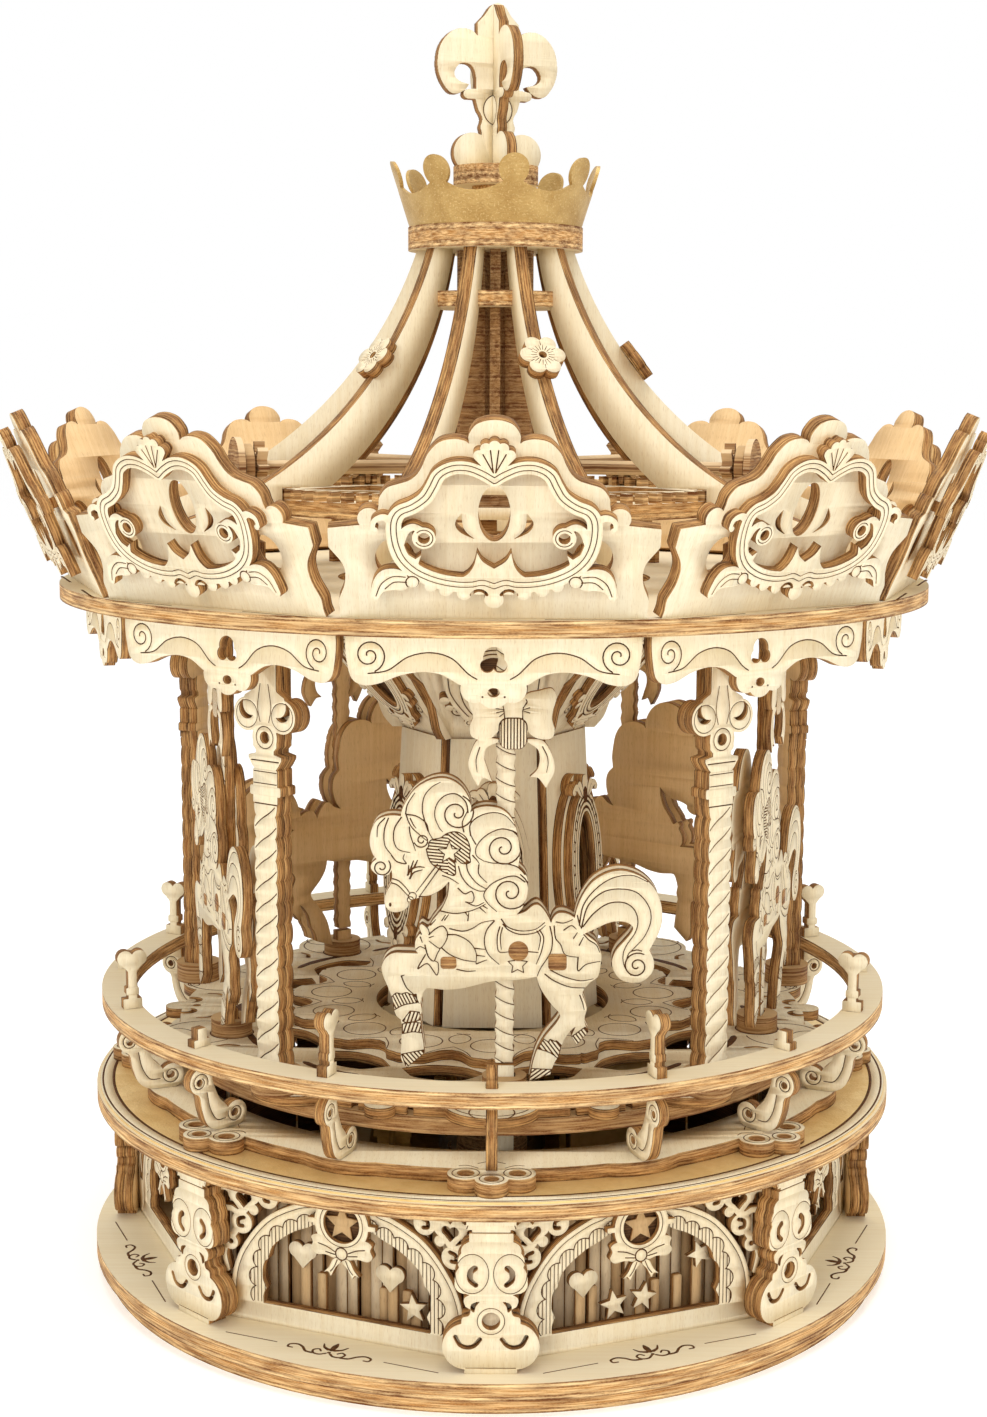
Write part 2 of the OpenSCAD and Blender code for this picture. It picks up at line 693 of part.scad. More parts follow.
// Collars round the poles and the column feet
module deck_collars() color(c_wood) {
    ring_of(rides) translate([0, 0, z_lattice_top]) linear_extrude(thin + pole_collar_h) difference() {
        disc_at(pole_x, -pole_d, 4.4);
        pole_slot();
    }
    ring_of(rides, 36) translate([0, 0, z_lattice_top]) linear_extrude(col_collar_h) difference() {
        disc_at(0, -col_d, 5);
        translate([-col_w/2, -col_d - thin]) square([col_w, 2*thin]);
    }
}

// ---------------------------------------------------------------- columns

// Twisted column with its capital, drawn up from the foot; h is its whole height
module column_outline(h) {
    top = h - 10.4;
    difference() {
        union() {
            block(col_w/2, 0, top - 4);
            block(4.1, top - 25, top - 23);
            block(3.2, top - 24, top - 18);
            polygon([[-4.2, top - 17.2], [-2.6, top - 19.4], [2.6, top - 19.4],
                [4.2, top - 17.2], [1.9, top - 16.6], [-1.9, top - 16.6]]);
            disc_at(0, top - 13, 3.1);
            both() disc_at(5, top - 8.8, 3.3);
            block(3, top - 11, h);
        }
        disc_at(0, top - 13, 1.3);
        both() polygon([[3, top - 8], [4.8, top - 7.2], [6.2, top - 8.6], [5.8, top - 9],
            [4.6, top - 8.2], [3.2, top - 9.2]]);
    }
}

module columns() color(c_wood) ring_of(rides, 36) {
    upright(col_d, z_lattice_top, thin) column_outline(z_roof - z_lattice_top);
    upright(col_d - thin, z_lattice_top, thin) column_outline(z_roof - z_lattice_top);
}

// ---------------------------------------------------------------- roof

module roof_disc() color(c_wood) translate([0, 0, z_roof]) difference() {
    band(roof_r, roof_hole_r, ply);
    translate([0, 0, -1]) linear_extrude(ply + 2) ring_of(rides) pole_slot();
}

// A board: waisted sides, shoulders, and a scalloped top over an oval hole
module board_outline() {
    s = board_h;
    difference() {
        union() {
            side = [[0, 0], [0.1, 2], [0.6, 5.2], [0.4, 8], [-0.7, 10.5], [-1.1, 12.3],
                [-0.5, 14.6], [1, 16.4], [1.5, 17.6]];
            half = concat([for (p = side) [board_hw + p[0], p[1]]], [[21.4, s - 18.4],
                [18.6, s - 13.5], [15, s - 9.4], [12.6, s - 5.6], [8.6, s - 3.4]]);
            polygon(concat(half, [for (i = [len(half) - 1:-1:0]) [-half[i][0], half[i][1]]]));
            both() {
                disc_at(20.4, s - 16.4, 2.6);
                disc_at(15, s - 12, 3.4);
                disc_at(8, s - 7, 4.6);
            }
            disc_at(0, s - 4.4, 4.4);
        }
        translate([0, 20]) oval(2.7, 5);
    }
}

// Boards stand on the roof disc and lean outwards
board_z = z_roof_top + board_t*sin(board_lean);
module board_panels() color(c_wood) ring_of(bays)
    upright(board_d, board_z, board_t, board_lean) board_outline();

// Cartouche: an ornamental frame held off each board on two pads
cart_gap = 1.4;
module cartouche_outline() {
    difference() {
        union() {
            oval(15.5, 12);
            both() {
                disc_at(11, 5.6, 6.6);
                disc_at(5.6, 8.6, 6);
                disc_at(17, 1, 3.4);
                disc_at(12.6, -5.4, 5);
                disc_at(17.4, -9.6, 2.7);
            }
            disc_at(0, 14, 3.6);
        }
        both() {
            translate([8.4, 0]) oval(5, 6.4, 24);
            disc_at(5.6, 8.8, 3);
        }
        translate([0, 3]) oval(2.7, 5);
        translate([0, -9.6]) oval(2, 1.2, 16);
    }
}

module board_cartouches() color(c_wood) ring_of(bays) {
    translate([0, -board_d, board_z]) rotate([90 + board_lean, 0, 0]) {
        translate([0, 17, board_t + cart_gap]) linear_extrude(thin) cartouche_outline();
        translate([0, 17, board_t]) linear_extrude(cart_gap + 0.5) both() disc_at(15.6, 1, 2);
    }
}

// Valances hang under the roof disc
module valance_outline() {
    hw = valance_d*tan(180/bays) - 1.2;
    difference() {
        half = [[0, 0], [hw, 0], [hw, -2.4], [hw - 0.5, -5.4], [hw - 1.6, -8], [hw - 3.6, -9.3],
            [hw - 6, -9.1], [hw - 9, -7.8], [13.4, -6.9], [9.6, -7.3], [6.4, -8.8], [5.9, -10.8],
            [4.4, -12], [2.6, -12.8], [1.2, -13.4]];
        polygon(concat(half, [for (i = [len(half) - 1:-1:1]) [-half[i][0], half[i][1]]]));
        disc_at(0, -5.6, 2);
        disc_at(0, -10.8, 0.9);
    }
}

module valances() color(c_wood) ring_of(bays)
    upright(valance_d - thin, z_roof, thin) valance_outline();

// A rib sweeps from the crown base down to a foot on the roof disc, between two arcs:
// radius and height of each arc's centre, and its radius. It is notched over the crown wheel.
rib_end = board_d - 7;
rib_in = [89.5, 83.9, 79];
rib_out = [97.8, 97.4, 85.8];
module rib_outline() {
    translate([0, z_roof_top]) {
        intersection() {
            difference() {
                translate([rib_in[0], rib_in[1]]) circle(r = rib_in[2], $fn = 180);
                translate([rib_out[0], rib_out[1]]) circle(r = rib_out[2], $fn = 180);
                square([crown_r + 2.2, crown_top + 0.4 - z_roof_top]);
            }
            translate([8, 2]) square([rib_end - 8, spire_h - 2]);
        }
        translate([rib_end - 11, 0]) square([11, 8]);
    }
}

module roof_ribs() color(c_wood) ring_of(bays, 18) radial(rib_t) rib_outline();

// Ring that the ribs are notched into
module rib_ring() color(c_wood) difference() {
    translate([0, 0, z_crown_base - 12]) band(16, 8.7, ply);
    ring_of(bays, 18) radial(rib_t) rib_outline();
}

// Turning hub over the core's spindle, with a bearing for each crank axle
hub_r = 15;
hub_z = crown_foot + 2.1;
hub_h = 6.8;
module roof_hub() color(c_wood) difference() {
    translate([0, 0, hub_z]) cylinder(r = hub_r, h = hub_h);
    translate([0, 0, hub_z - 1]) cylinder(r = axle_r + play, h = 6.6);
    ring_of(rides) translate([0, -hub_r - 1, z_axle]) rotate([-90, 0, 0])
        cylinder(r = axle_r + play, h = 7);
}

// Upright strips between the hub and the crown base
module shaft_strips() color(c_wood) ring_of(rides) radial(thin)
    translate([2.6, hub_z + hub_h]) square([5.6, z_crown_base - hub_z - hub_h]);

// Brackets on the roof disc, each with a bearing for one crank axle
module axle_brackets() color(c_dark) ring_of(rides)
    upright(bracket_out - bracket_t, z_roof_top, bracket_t) difference() {
        h = z_axle - z_roof_top;
        union() {
            polygon([[-8, 0], [8, 0], [8, 3], [4, h - 8], [5, h], [-5, h], [-4, h - 8], [-8, 3]]);
            disc_at(0, h, 5);
        }
        disc_at(0, h, axle_r + play);
    }

// Five loose-cut flowers, one on every second rib, square to its edge
flower_lean = 53;
flower_d = rib_out[2] - 0.2;
module flowers() color(c_wood) ring_of(rides, 18)
    translate([0, flower_d*sin(flower_lean) - rib_out[0],
        z_roof_top + rib_out[1] - flower_d*cos(flower_lean)]) rotate([flower_lean, 0, 0])
        linear_extrude(thin) difference() {
            union() {
                circle(r = 2.6);
                for (a = [0:60:300]) rotate(a) disc_at(0, 3, 1.9);
            }
            circle(r = 0.8);
        }

// ---------------------------------------------------------------- crown and finial

module crown_base() color(c_wood) translate([0, 0, z_crown_base])
    cylinder(r = crown_base_r, h = crown_base_t, $fn = 96);

// Flared gold band with round lobes
lobe_h = 14;
band_h = 6.6;
module crown() color(c_gold) translate([0, 0, z_crown]) {
    rotate_extrude($fn = 96) polygon([[crown_base_r - 0.9, 0], [crown_base_r - 0.1, 0],
        [crown_base_r + 2, band_h], [crown_base_r + 1.2, band_h]]);
    ring_of(sides, 10) translate([0, 1 - crown_base_r, 0]) rotate([90 + 17.6, 0, 0])
        linear_extrude(0.8) {
            disc_at(0, lobe_h - 3, 3);
            block(1.5, band_h - 1, lobe_h - 3);
        }
}

module finial_cap() color(c_wood) translate([0, 0, z_crown]) {
    cylinder(r = 5, h = z_cap - z_crown);
    translate([0, 0, z_cap - z_crown]) cylinder(r = 9, h = z_finial - z_cap);
}

// Fleur-de-lis, drawn up from its foot
module finial_outline() {
    h = finial_h;
    difference() {
        union() {
            polygon([[0, h], [-1.6, h - 2.4], [-3.7, h - 4], [-3.7, h - 6.4], [-2.8, 15],
                [2.8, 15], [3.7, h - 6.4], [3.7, h - 4], [1.6, h - 2.4]]);
            both() {
                disc_at(7.4, h - 11.6, 5.6);
                disc_at(7, 2.8, 2.8);
            }
            block(7.6, 14, 15.8);
            polygon([[-9, 0], [9, 0], [6, 6.4], [6, 8.4], [3.4, 8.8], [3, 10.6], [4.6, 13.4],
                [4.6, 15], [-4.6, 15], [-4.6, 13.4], [-3, 10.6], [-3.4, 8.8], [-6, 8.4], [-6, 6.4]]);
        }
        both() {
            disc_at(6.4, h - 14.4, 2.1);
            polygon([[4, h - 16], [12, h - 18.4], [9, h - 13]]);
        }
    }
}

// Two plates halved into each other
module finial_plates() color(c_wood) translate([0, 0, z_finial]) {
    for (k = [0, 1]) rotate([0, 0, 20 + 90*k]) translate([0, thin/2, 0]) rotate([90, 0, 0])
        linear_extrude(thin) difference() {
            finial_outline();
            translate([-thin/2 - slot_gap/2, k == 0 ? -1 : finial_h/2 - 2])
                square([thin + slot_gap, finial_h/2 + (k == 0 ? -1 : 4)]);
        }
}

// ---------------------------------------------------------------- horses and cranks

// Horse seen from outside the ring, facing left, in x and height above the deck
module horse_outline() {
    difference() {
        union() {
            disc_at(-22.4, 43.2, 1.9);
            polygon([
                // muzzle, forelock and crown of the head
                [-19.5, 34.3], [-21.6, 36.6], [-20.6, 38.8], [-19.9, 42], [-22.6, 44.2],
                [-24.7, 47.6], [-24.5, 50.6], [-22, 52.9], [-17.5, 53.8], [-17, 56.6],
                [-15, 59.1], [-12, 60.8], [-9, 60.9], [-6, 59.6], [-4.5, 57.1], [-4.3, 54.6],
                // mane and saddle
                [-1, 55.6], [2, 54.1], [4.3, 51.1], [4.9, 46.2], [6.3, 41.6], [6.2, 38.6],
                [4.6, 35], [7.4, 33.4], [10, 33.2], [12.5, 34.6], [16.3, 33.6],
                // tail
                [16.5, 36.6], [18, 39.6], [21, 42.2], [25, 42.8], [29, 41.6], [31.5, 38.6],
                [33, 35.6], [33, 33.1], [31.5, 29.6], [29.8, 27.1], [31.2, 23.6], [30.8, 21.6],
                [28.5, 20], [26, 20.3], [23.8, 22.1], [23.4, 24.6], [24.5, 27.1], [26.8, 29.6],
                [26.4, 31.6], [23, 31.9], [18.5, 29.9],
                // rump and hind legs
                [20.5, 27.6], [21.5, 23.6], [20.8, 20.6], [20, 15.6], [18.3, 10.1], [16.5, 7.3],
                [14.6, 9], [15.4, 12.6], [13, 9.6], [12, 5.6], [11, 1.6], [7.3, 0.6], [9, 8.1],
                [12.5, 13.6], [9, 18.6], [8.5, 21.6],
                // belly and forelegs
                [2, 20.1], [-4, 19.1], [-8, 18.8], [-11, 17.6], [-14.3, 12.6], [-14.5, 8.6],
                [-14.3, 5.6], [-17, 3.2], [-17.8, 8.6], [-18.5, 13.6], [-19.7, 16.1],
                [-21, 20.6], [-21.5, 24.1], [-20, 26.4], [-15, 25.6],
                // chest and throat
                [-15.6, 28.4], [-13, 32.1], [-10, 35.6], [-10, 38.6], [-14, 37.1], [-17, 34.8]]);
        }
        disc_at(4.7, 26.3, 1.7);
    }
}

// A horse is a pair of plates with the pole between them
module horse(i) color(c_wood) rotate([0, 0, (i - 1)*360/rides]) {
    upright(pole_out, z_deck, thin) horse_outline();
    upright(pole_in - thin, z_deck, thin) horse_outline();
}

// Bow at the top of a pole, drawn round the pole's axis
module bow_outline() {
    translate([-2.5, -2.7]) square([5, 5.4]);
    both() {
        disc_at(4.6, 4, 3.9);
        polygon([[0.6, -1.4], [2.5, -1.6], [7.9, -8], [6.8, -7.9], [5, -9.4], [1.6, -2.6]]);
    }
}

// A pole: strip, slotted yoke over the crank pin, and its bow
pole_foot = z_wavy_top - 8.8;
yoke_hw = throw + 4;
module pole(i) color(c_wood) rotate([0, 0, (i - 1)*360/rides]) {
    upright(pole_in, 0, thin) difference() {
        union() {
            translate([pole_x - pole_w/2, pole_foot]) square([pole_w, z_yoke - pole_foot]);
            block(yoke_hw, z_yoke - 3.5, z_yoke + 3.5);
        }
        block(throw + 1.6, z_yoke - 1.2, z_yoke + 1.2);
    }
    upright(pole_out, z_deck + 69.8, thin - 0.4) translate([pole_x, 0]) bow_outline();
}

// A crank: radial axle, its pinion over the crown wheel, disc and pin
module crank(i) color(c_dark) rotate([0, 0, (i - 1)*360/rides]) translate([0, 0, z_axle]) {
    translate([0, -hub_r + 5.4, 0]) rotate([90, 0, 0]) cylinder(r = axle_r, h = disc_out - hub_r + 5.4);
    translate([0, -crown_r + thin/2, 0]) rotate([90, 0, 0]) linear_extrude(thin)
        rotate(180) gear_outline(pinion_n, pinion_r, add, 1.3, 1.1, 1.5);
    translate([0, -disc_in, 0]) rotate([90, 0, 0]) cylinder(r = throw + 1.8, h = disc_out - disc_in);
    translate([0, -disc_in, -throw]) rotate([90, 0, 0]) cylinder(r = 0.9, h = disc_out - disc_in + 1);
}

// ---------------------------------------------------------------- nodes

base_disc_lower();
base_disc_upper();
arch_panels();
niche_walls();
pillars();
medallions();
top_ring();
inlay_ring();
wavy_ring();
balusters();
rail_ring();
column_core();
column_floors();
column_panels();
mirror_frames();
column_cornice();
crown_wheel();
bedplate();
spring_housing();
tone_comb();
screws();
wind_key();
drive_gear();
pin_cylinder();
governor_fan();
deck_plate();
deck_lattice();
deck_rim();
deck_gear();
deck_collars();
columns();
roof_disc();
board_panels();
board_cartouches();
valances();
roof_ribs();
rib_ring();
roof_hub();
shaft_strips();
axle_brackets();
crown_base();
crown();
finial_cap();
finial_plates();
flowers();
horse(1);  // horse_1
horse(2);  // horse_2
horse(3);  // horse_3
horse(4);  // horse_4
horse(5);  // horse_5
pole(1);  // pole_1
pole(2);  // pole_2
pole(3);  // pole_3
pole(4);  // pole_4
pole(5);  // pole_5
crank(1);  // crank_1
crank(2);  // crank_2
crank(3);  // crank_3
crank(4);  // crank_4
crank(5);  // crank_5
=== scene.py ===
# %% [markdown]
# # A plywood carousel, cut by laser
# The real carousel is a kit: thin basswood ply, cut by a laser and slotted together. Almost
# every piece is a flat outline with a thickness, a pale face, a scorched edge and fine lines
# burnt into the face. It could be modelled piece by piece with bevelled curves, but the burnt
# lines would then be paint. So this lesson draws flat outlines, cuts them into plates with
# real grooves, and stands the plates where the frame's solids are. All sizes are in
# millimetres until a mesh is made.

# %% Load the frame
import bpy
import math
import time
import numpy as np
from mathutils import Matrix, Vector
from mathutils.geometry import tessellate_polygon


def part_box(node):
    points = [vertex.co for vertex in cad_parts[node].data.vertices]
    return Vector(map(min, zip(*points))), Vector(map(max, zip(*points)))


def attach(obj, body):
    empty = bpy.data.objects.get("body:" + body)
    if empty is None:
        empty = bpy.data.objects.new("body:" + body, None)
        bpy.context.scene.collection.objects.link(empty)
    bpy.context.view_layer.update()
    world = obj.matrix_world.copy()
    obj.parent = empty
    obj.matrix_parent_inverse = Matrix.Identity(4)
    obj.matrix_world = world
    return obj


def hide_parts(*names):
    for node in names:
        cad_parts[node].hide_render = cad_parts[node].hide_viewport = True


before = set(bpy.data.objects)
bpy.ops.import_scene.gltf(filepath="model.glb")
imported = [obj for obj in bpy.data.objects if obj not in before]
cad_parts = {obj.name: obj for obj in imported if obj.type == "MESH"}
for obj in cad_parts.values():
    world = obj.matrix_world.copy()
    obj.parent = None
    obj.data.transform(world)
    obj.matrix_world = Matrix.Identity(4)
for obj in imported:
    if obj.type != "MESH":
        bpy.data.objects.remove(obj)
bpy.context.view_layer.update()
started = time.time()

# %% [markdown]
# Scrolls, leaves and curls are tedious to draw as one closed outline, and curves that are
# joined or cut by Boolean modifiers break easily. Here a shape is a distance field on a fine
# grid instead: a number per grid point, negative inside the wood. Discs, strokes and polygons
# then join with a minimum and cut with a maximum, and the edge is wherever the number
# crosses zero.

# %% The drawing board
FAR = 9.0  # millimetres: what a field says where nothing is near
STEPS_A_TURN = 22


def smooth(points, closed=False, steps=7):
    """Catmull-Rom curve through points. A point given twice in a row is a corner."""
    p = [np.array(q, float) for q in points]
    n = len(p)
    out = []
    for i in range(n if closed else n - 1):
        a, b = p[i], p[(i + 1) % n]
        if np.allclose(a, b):
            continue
        before = p[i - 1] if closed or i > 0 else a
        after = p[(i + 2) % n] if closed or i + 2 < n else b
        for k in range(steps):
            t = k / steps
            out.append(0.5 * (2*a + (b - before)*t + (2*before - 5*a + 4*b - after)*t*t
                              + (3*a - before - 3*b + after)*t**3))
    if not closed:
        out.append(p[-1])
    return np.array(out)


class Board:
    """A grid in millimetres. mirrored: shapes given for x >= 0 appear on both sides."""

    def __init__(self, x0, x1, y0, y1, step=0.1, mirrored=False):
        self.x0, self.y0, self.step = x0, y0, step
        columns, rows = np.arange(x0, x1 + step, step), np.arange(y0, y1 + step, step)
        self.true_x, self.y = np.meshgrid(columns, rows)
        self.x = abs(self.true_x) if mirrored else self.true_x

    def disc(self, x, y, r, ry=None):
        ry = ry or r
        k = min(r, ry)
        return (np.hypot((self.x - x)/r, (self.y - y)/ry) - 1) * k

    def hoop(self, w, x, y, r, ry=None):
        """The outline of a disc, w to either side of it."""
        return abs(self.disc(x, y, r, ry)) - w

    def rect(self, x0, x1, y0, y1, r=0.0):
        dx = abs(self.x - (x0 + x1)/2) - (x1 - x0)/2 + r
        dy = abs(self.y - (y0 + y1)/2) - (y1 - y0)/2 + r
        return np.hypot(np.maximum(dx, 0), np.maximum(dy, 0)) + np.minimum(np.maximum(dx, dy), 0) - r

    def stroke(self, points, w, w_end=None, curved=True, closed=False, reach=1.2):
        """A line of half width w that tapers to w_end. The field is known up to reach away."""
        p = smooth(points, closed) if curved else np.array(points, float)
        p = np.vstack([p, p[:1]]) if closed else p
        w_end = w if w_end is None else w_end
        out = np.full(self.x.shape, FAR)
        reach += max(w, w_end)
        for i in range(len(p) - 1):
            a, b = p[i], p[i + 1]
            lo, hi = np.minimum(a, b) - reach, np.maximum(a, b) + reach
            for near in self._windows(lo, hi):
                x, y = self.x[near], self.y[near]
                d = b - a
                t = np.clip(((x - a[0])*d[0] + (y - a[1])*d[1]) / max(d @ d, 1e-9), 0, 1)
                wide = w + (w_end - w) * (i + t) / (len(p) - 1)
                dist = np.hypot(x - a[0] - t*d[0], y - a[1] - t*d[1]) - wide
                out[near] = np.minimum(out[near], dist)
        return out

    def _windows(self, lo, hi):
        """The parts of the grid that hold a box, on the mirrored side too."""
        def span(a, b, start):
            return slice(max(0, int((a - start)/self.step)), max(0, int((b - start)/self.step) + 2))
        sides = [(lo[0], hi[0])] + ([(-hi[0], -lo[0])] if self.x is not self.true_x else [])
        parts = [(span(lo[1], hi[1], self.y0), span(a, b, self.x0)) for a, b in sides]
        return [(rows, cols)
                for rows, cols in parts if cols.stop > cols.start and rows.stop > rows.start]

    def area(self, points, curved=True):
        """A filled closed outline."""
        p = smooth(points, True) if curved else np.array(points, float)
        inside = np.zeros(self.x.shape, bool)
        for i in range(len(p)):
            (ax, ay), (bx, by) = p[i - 1], p[i]
            if ay == by:
                continue
            cross = (self.y > min(ay, by)) & (self.y <= max(ay, by))
            inside ^= cross & (self.x < ax + (self.y - ay)*(bx - ax)/(by - ay))
        edge = self.stroke(list(p), 0, curved=False, closed=True)
        return np.where(inside, -edge, edge)

    def arc(self, x, y, r, a0, a1, w, w_end=None):
        n = max(3, int(abs(a1 - a0)/12))
        angles = [math.radians(a0 + (a1 - a0)*i/n) for i in range(n + 1)]
        return self.stroke([(x + r*math.cos(a), y + r*math.sin(a)) for a in angles], w, w_end, False)

    def spiral(self, x, y, r, turns, start, w, inner=0.35, w_end=None):
        """Winds in from radius r at angle start; turns < 0 winds clockwise."""
        n = int(abs(turns)*STEPS_A_TURN)
        points = []
        for i in range(n + 1):
            k = i/n
            a = math.radians(start) + 2*math.pi*turns*k
            q = r + (inner - r)*k
            points.append((x + q*math.cos(a), y + q*math.sin(a)))
        return self.stroke(points, w, w_end, False)

    def star(self, x, y, r, q=0.42, points=5, turn=90):
        return self.area([(x + s*math.cos(a), y + s*math.sin(a)) for i in range(2*points)
                          for s in [r if i % 2 == 0 else r*q]
                          for a in [math.radians(turn + 180*i/points)]], False)

    def heart(self, x, y, w):
        return join(self.disc(x + 0.5*w, y + 0.3*w, 0.56*w), self.disc(x - 0.5*w, y + 0.3*w, 0.56*w),
                    self.area([(x - w, y + 0.12*w), (x, y + 0.4*w), (x + w, y + 0.12*w), (x, y - w)],
                              False))


def join(*fields):
    """Wood where any of the fields has wood."""
    return np.minimum.reduce(fields)


def cut(field, *others):
    """The first field without the others."""
    return np.maximum.reduce([field] + [-o for o in others])


def both(*fields):
    """Wood only where every field has wood."""
    return np.maximum.reduce(fields)


print("drawing board ready")

# %% [markdown]
# A mesh needs the edge as points. The zero line of a field is found by walking round it cell
# by cell, which is called marching squares: which corners of a cell are wood says where the
# line enters and leaves. The loops come out as many short steps, so points that lie almost
# on a straight line are dropped again.

# %% Trace a field into loops
CELL_PATHS = {1: [(3, 0)], 2: [(0, 1)], 3: [(3, 1)], 4: [(1, 2)], 5: [(3, 2), (1, 0)], 6: [(0, 2)],
              7: [(3, 2)], 8: [(2, 3)], 9: [(2, 0)], 10: [(0, 3), (2, 1)], 11: [(2, 1)],
              12: [(1, 3)], 13: [(1, 0)], 14: [(0, 3)]}
SPECK = 0.05  # square millimetres: a loop smaller than this is dropped


def thin_out(p, tolerance):
    """Douglas-Peucker on one closed loop."""
    keep = np.zeros(len(p), bool)
    far = int(np.argmax(np.hypot(*(p - p[0]).T)))
    keep[0] = keep[far] = True
    stack = [(0, far), (far, len(p))]
    ring = np.vstack([p, p[:1]])
    while stack:
        a, b = stack.pop()
        if b - a < 2:
            continue
        d = ring[b] - ring[a]
        mid = ring[a + 1:b] - ring[a]
        off = abs(d[0]*mid[:, 1] - d[1]*mid[:, 0]) / max(np.hypot(*d), 1e-9)
        i = int(np.argmax(off))
        if off[i] > tolerance:
            keep[a + 1 + i] = True
            stack += [(a, a + 1 + i), (a + 1 + i, b)]
    return p[keep]


def trace(board, field, tolerance=0.022):
    """Loops round the wood: outer ones run anticlockwise, holes clockwise."""
    f = field.copy()
    f[0, :] = f[-1, :] = f[:, 0] = f[:, -1] = 1.0
    f[f == 0] = 1e-6
    s = f < 0
    code = (s[:-1, :-1]*1 + s[:-1, 1:]*2 + s[1:, 1:]*4 + s[1:, :-1]*8)
    after, place = {}, {}
    rows, cols = np.nonzero((code > 0) & (code < 15))
    for j, i in zip(rows.tolist(), cols.tolist()):
        names = ((0, j, i), (1, j, i + 1), (0, j + 1, i), (1, j, i))
        for a, b in CELL_PATHS[int(code[j, i])]:
            after[names[b]] = names[a]
    for side, j, i in after:
        a, b = f[j, i], (f[j + 1, i] if side else f[j, i + 1])
        place[(side, j, i)] = (i, j + a/(a - b)) if side else (i + a/(a - b), j)
    loops = []
    while after:
        start, here = next(iter(after.items()))
        chain = [start]
        del after[start]
        while here != start:
            chain.append(here)
            here = after.pop(here)
        p = np.array([place[c] for c in chain])*board.step + (board.x0, board.y0)
        if abs(signed_area(p)) > SPECK:
            loops.append(thin_out(p, tolerance))
    return [p for p in loops if len(p) > 2]


def signed_area(p):
    x, y = p[:, 0], p[:, 1]
    return 0.5*float(np.sum(x*np.roll(y, -1) - np.roll(x, -1)*y))


print("tracing ready")

# %% [markdown]
# A plate is two copies of the loops, triangulated in between, with a wall round every loop.
# A Solidify modifier would do that too, but it doesn't know a face from an edge. Where the
# face carries burnt lines, the plate is two layers: a body whose top is scorched, and a thin
# skin on it from which the lines are cut. The lines are then real grooves.

# %% Cut plates from loops
FACE, EDGE, BURN, BACK = 0, 1, 2, 3


class Mesh:
    """Grows as plates are added; holds points, triangles, a finish and a UV per corner."""

    def __init__(self):
        self.points, self.tris, self.finish, self.uv, self.count = [], [], [], [], 0

    def add(self, points, tris, finish, uv):
        self.points.append(points)
        self.tris.append(tris + self.count)
        self.finish.append(finish)
        self.uv.append(uv)
        self.count += len(points)


def groups(loops):
    """Each outer loop with the holes inside it."""
    outers = [[p] for p in loops if signed_area(p) > 0]
    for hole in (p for p in loops if signed_area(p) <= 0):
        home = [g for g in outers if contains(g[0], hole[0])]
        if home:
            min(home, key=lambda g: signed_area(g[0])).append(hole)
    return outers


def contains(p, q):
    a, b = p, np.roll(p, -1, 0)
    hit = (a[:, 1] > q[1]) != (b[:, 1] > q[1])
    with np.errstate(divide="ignore", invalid="ignore"):
        x = a[:, 0] + (q[1] - a[:, 1])*(b[:, 0] - a[:, 0])/(b[:, 1] - a[:, 1])
    return bool(np.sum(hit & (q[0] < x)) % 2)


def prism(mesh, loops, w0, w1, top=FACE, bottom=BACK):
    """Adds a plate between heights w0 and w1, in the outline's own axes."""
    for group in groups(loops):
        flat = np.vstack(group)
        n = len(flat)
        tris = np.array(tessellate_polygon([[Vector((x, y, 0)) for x, y in p] for p in group]))
        if not len(tris):
            continue
        a, b, c = (flat[tris[:, k]] for k in range(3))
        turn = (b[:, 0] - a[:, 0])*(c[:, 1] - a[:, 1]) - (b[:, 1] - a[:, 1])*(c[:, 0] - a[:, 0])
        tris = np.where((turn < 0)[:, None], tris[:, ::-1], tris)
        low = np.column_stack([flat, np.full(n, w0)])
        high = np.column_stack([flat, np.full(n, w1)])
        walls, wall_uv = [], []
        base = 0
        for p in group:
            m = len(p)
            i = np.arange(m) + base
            j = np.roll(i, -1)
            step = np.hypot(*(np.roll(p, -1, 0) - p).T)
            s0 = np.concatenate([[0], np.cumsum(step)[:-1]])
            s1 = s0 + step
            walls += [np.column_stack([i, j, j + n]), np.column_stack([i, j + n, i + n])]
            lo, hi = np.full(m, w0), np.full(m, w1)
            wall_uv += [np.stack([np.column_stack([s0, lo]), np.column_stack([s1, lo]),
                                  np.column_stack([s1, hi])], 1),
                        np.stack([np.column_stack([s0, lo]), np.column_stack([s1, hi]),
                                  np.column_stack([s0, hi])], 1)]
            base += m
        walls, wall_uv = np.vstack(walls), np.concatenate(wall_uv)
        cap_uv = flat[tris]
        mesh.add(np.vstack([low, high]), np.vstack([tris + n, tris[:, ::-1], walls]),
                 np.concatenate([np.full(len(tris), top), np.full(len(tris), bottom),
                                 np.full(len(walls), EDGE)]),
                 np.concatenate([cap_uv, cap_uv[:, ::-1], wall_uv]))


def plate(board, field, w0, w1, lines=None, depth=0.22, both_faces=False):
    """A plate with burnt lines on its outer face, or on both."""
    mesh = Mesh()
    if lines is None:
        prism(mesh, trace(board, field), w0, w1)
        return mesh
    foot = w0 + depth if both_faces else w0
    prism(mesh, trace(board, field), foot, w1 - depth, BURN, BURN if both_faces else BACK)
    skin = trace(board, cut(field, lines))
    prism(mesh, skin, w1 - depth, w1, FACE, BURN)
    if both_faces:
        prism(mesh, skin, w0, foot, BURN, FACE)
    return mesh


def pack(*meshes):
    """One Mesh from several."""
    out = Mesh()
    for m in meshes:
        for p, t, f, u in zip(m.points, m.tris, m.finish, m.uv):
            start = t.min() if len(t) else 0
            out.add(p, t - start, f, u)
    return out


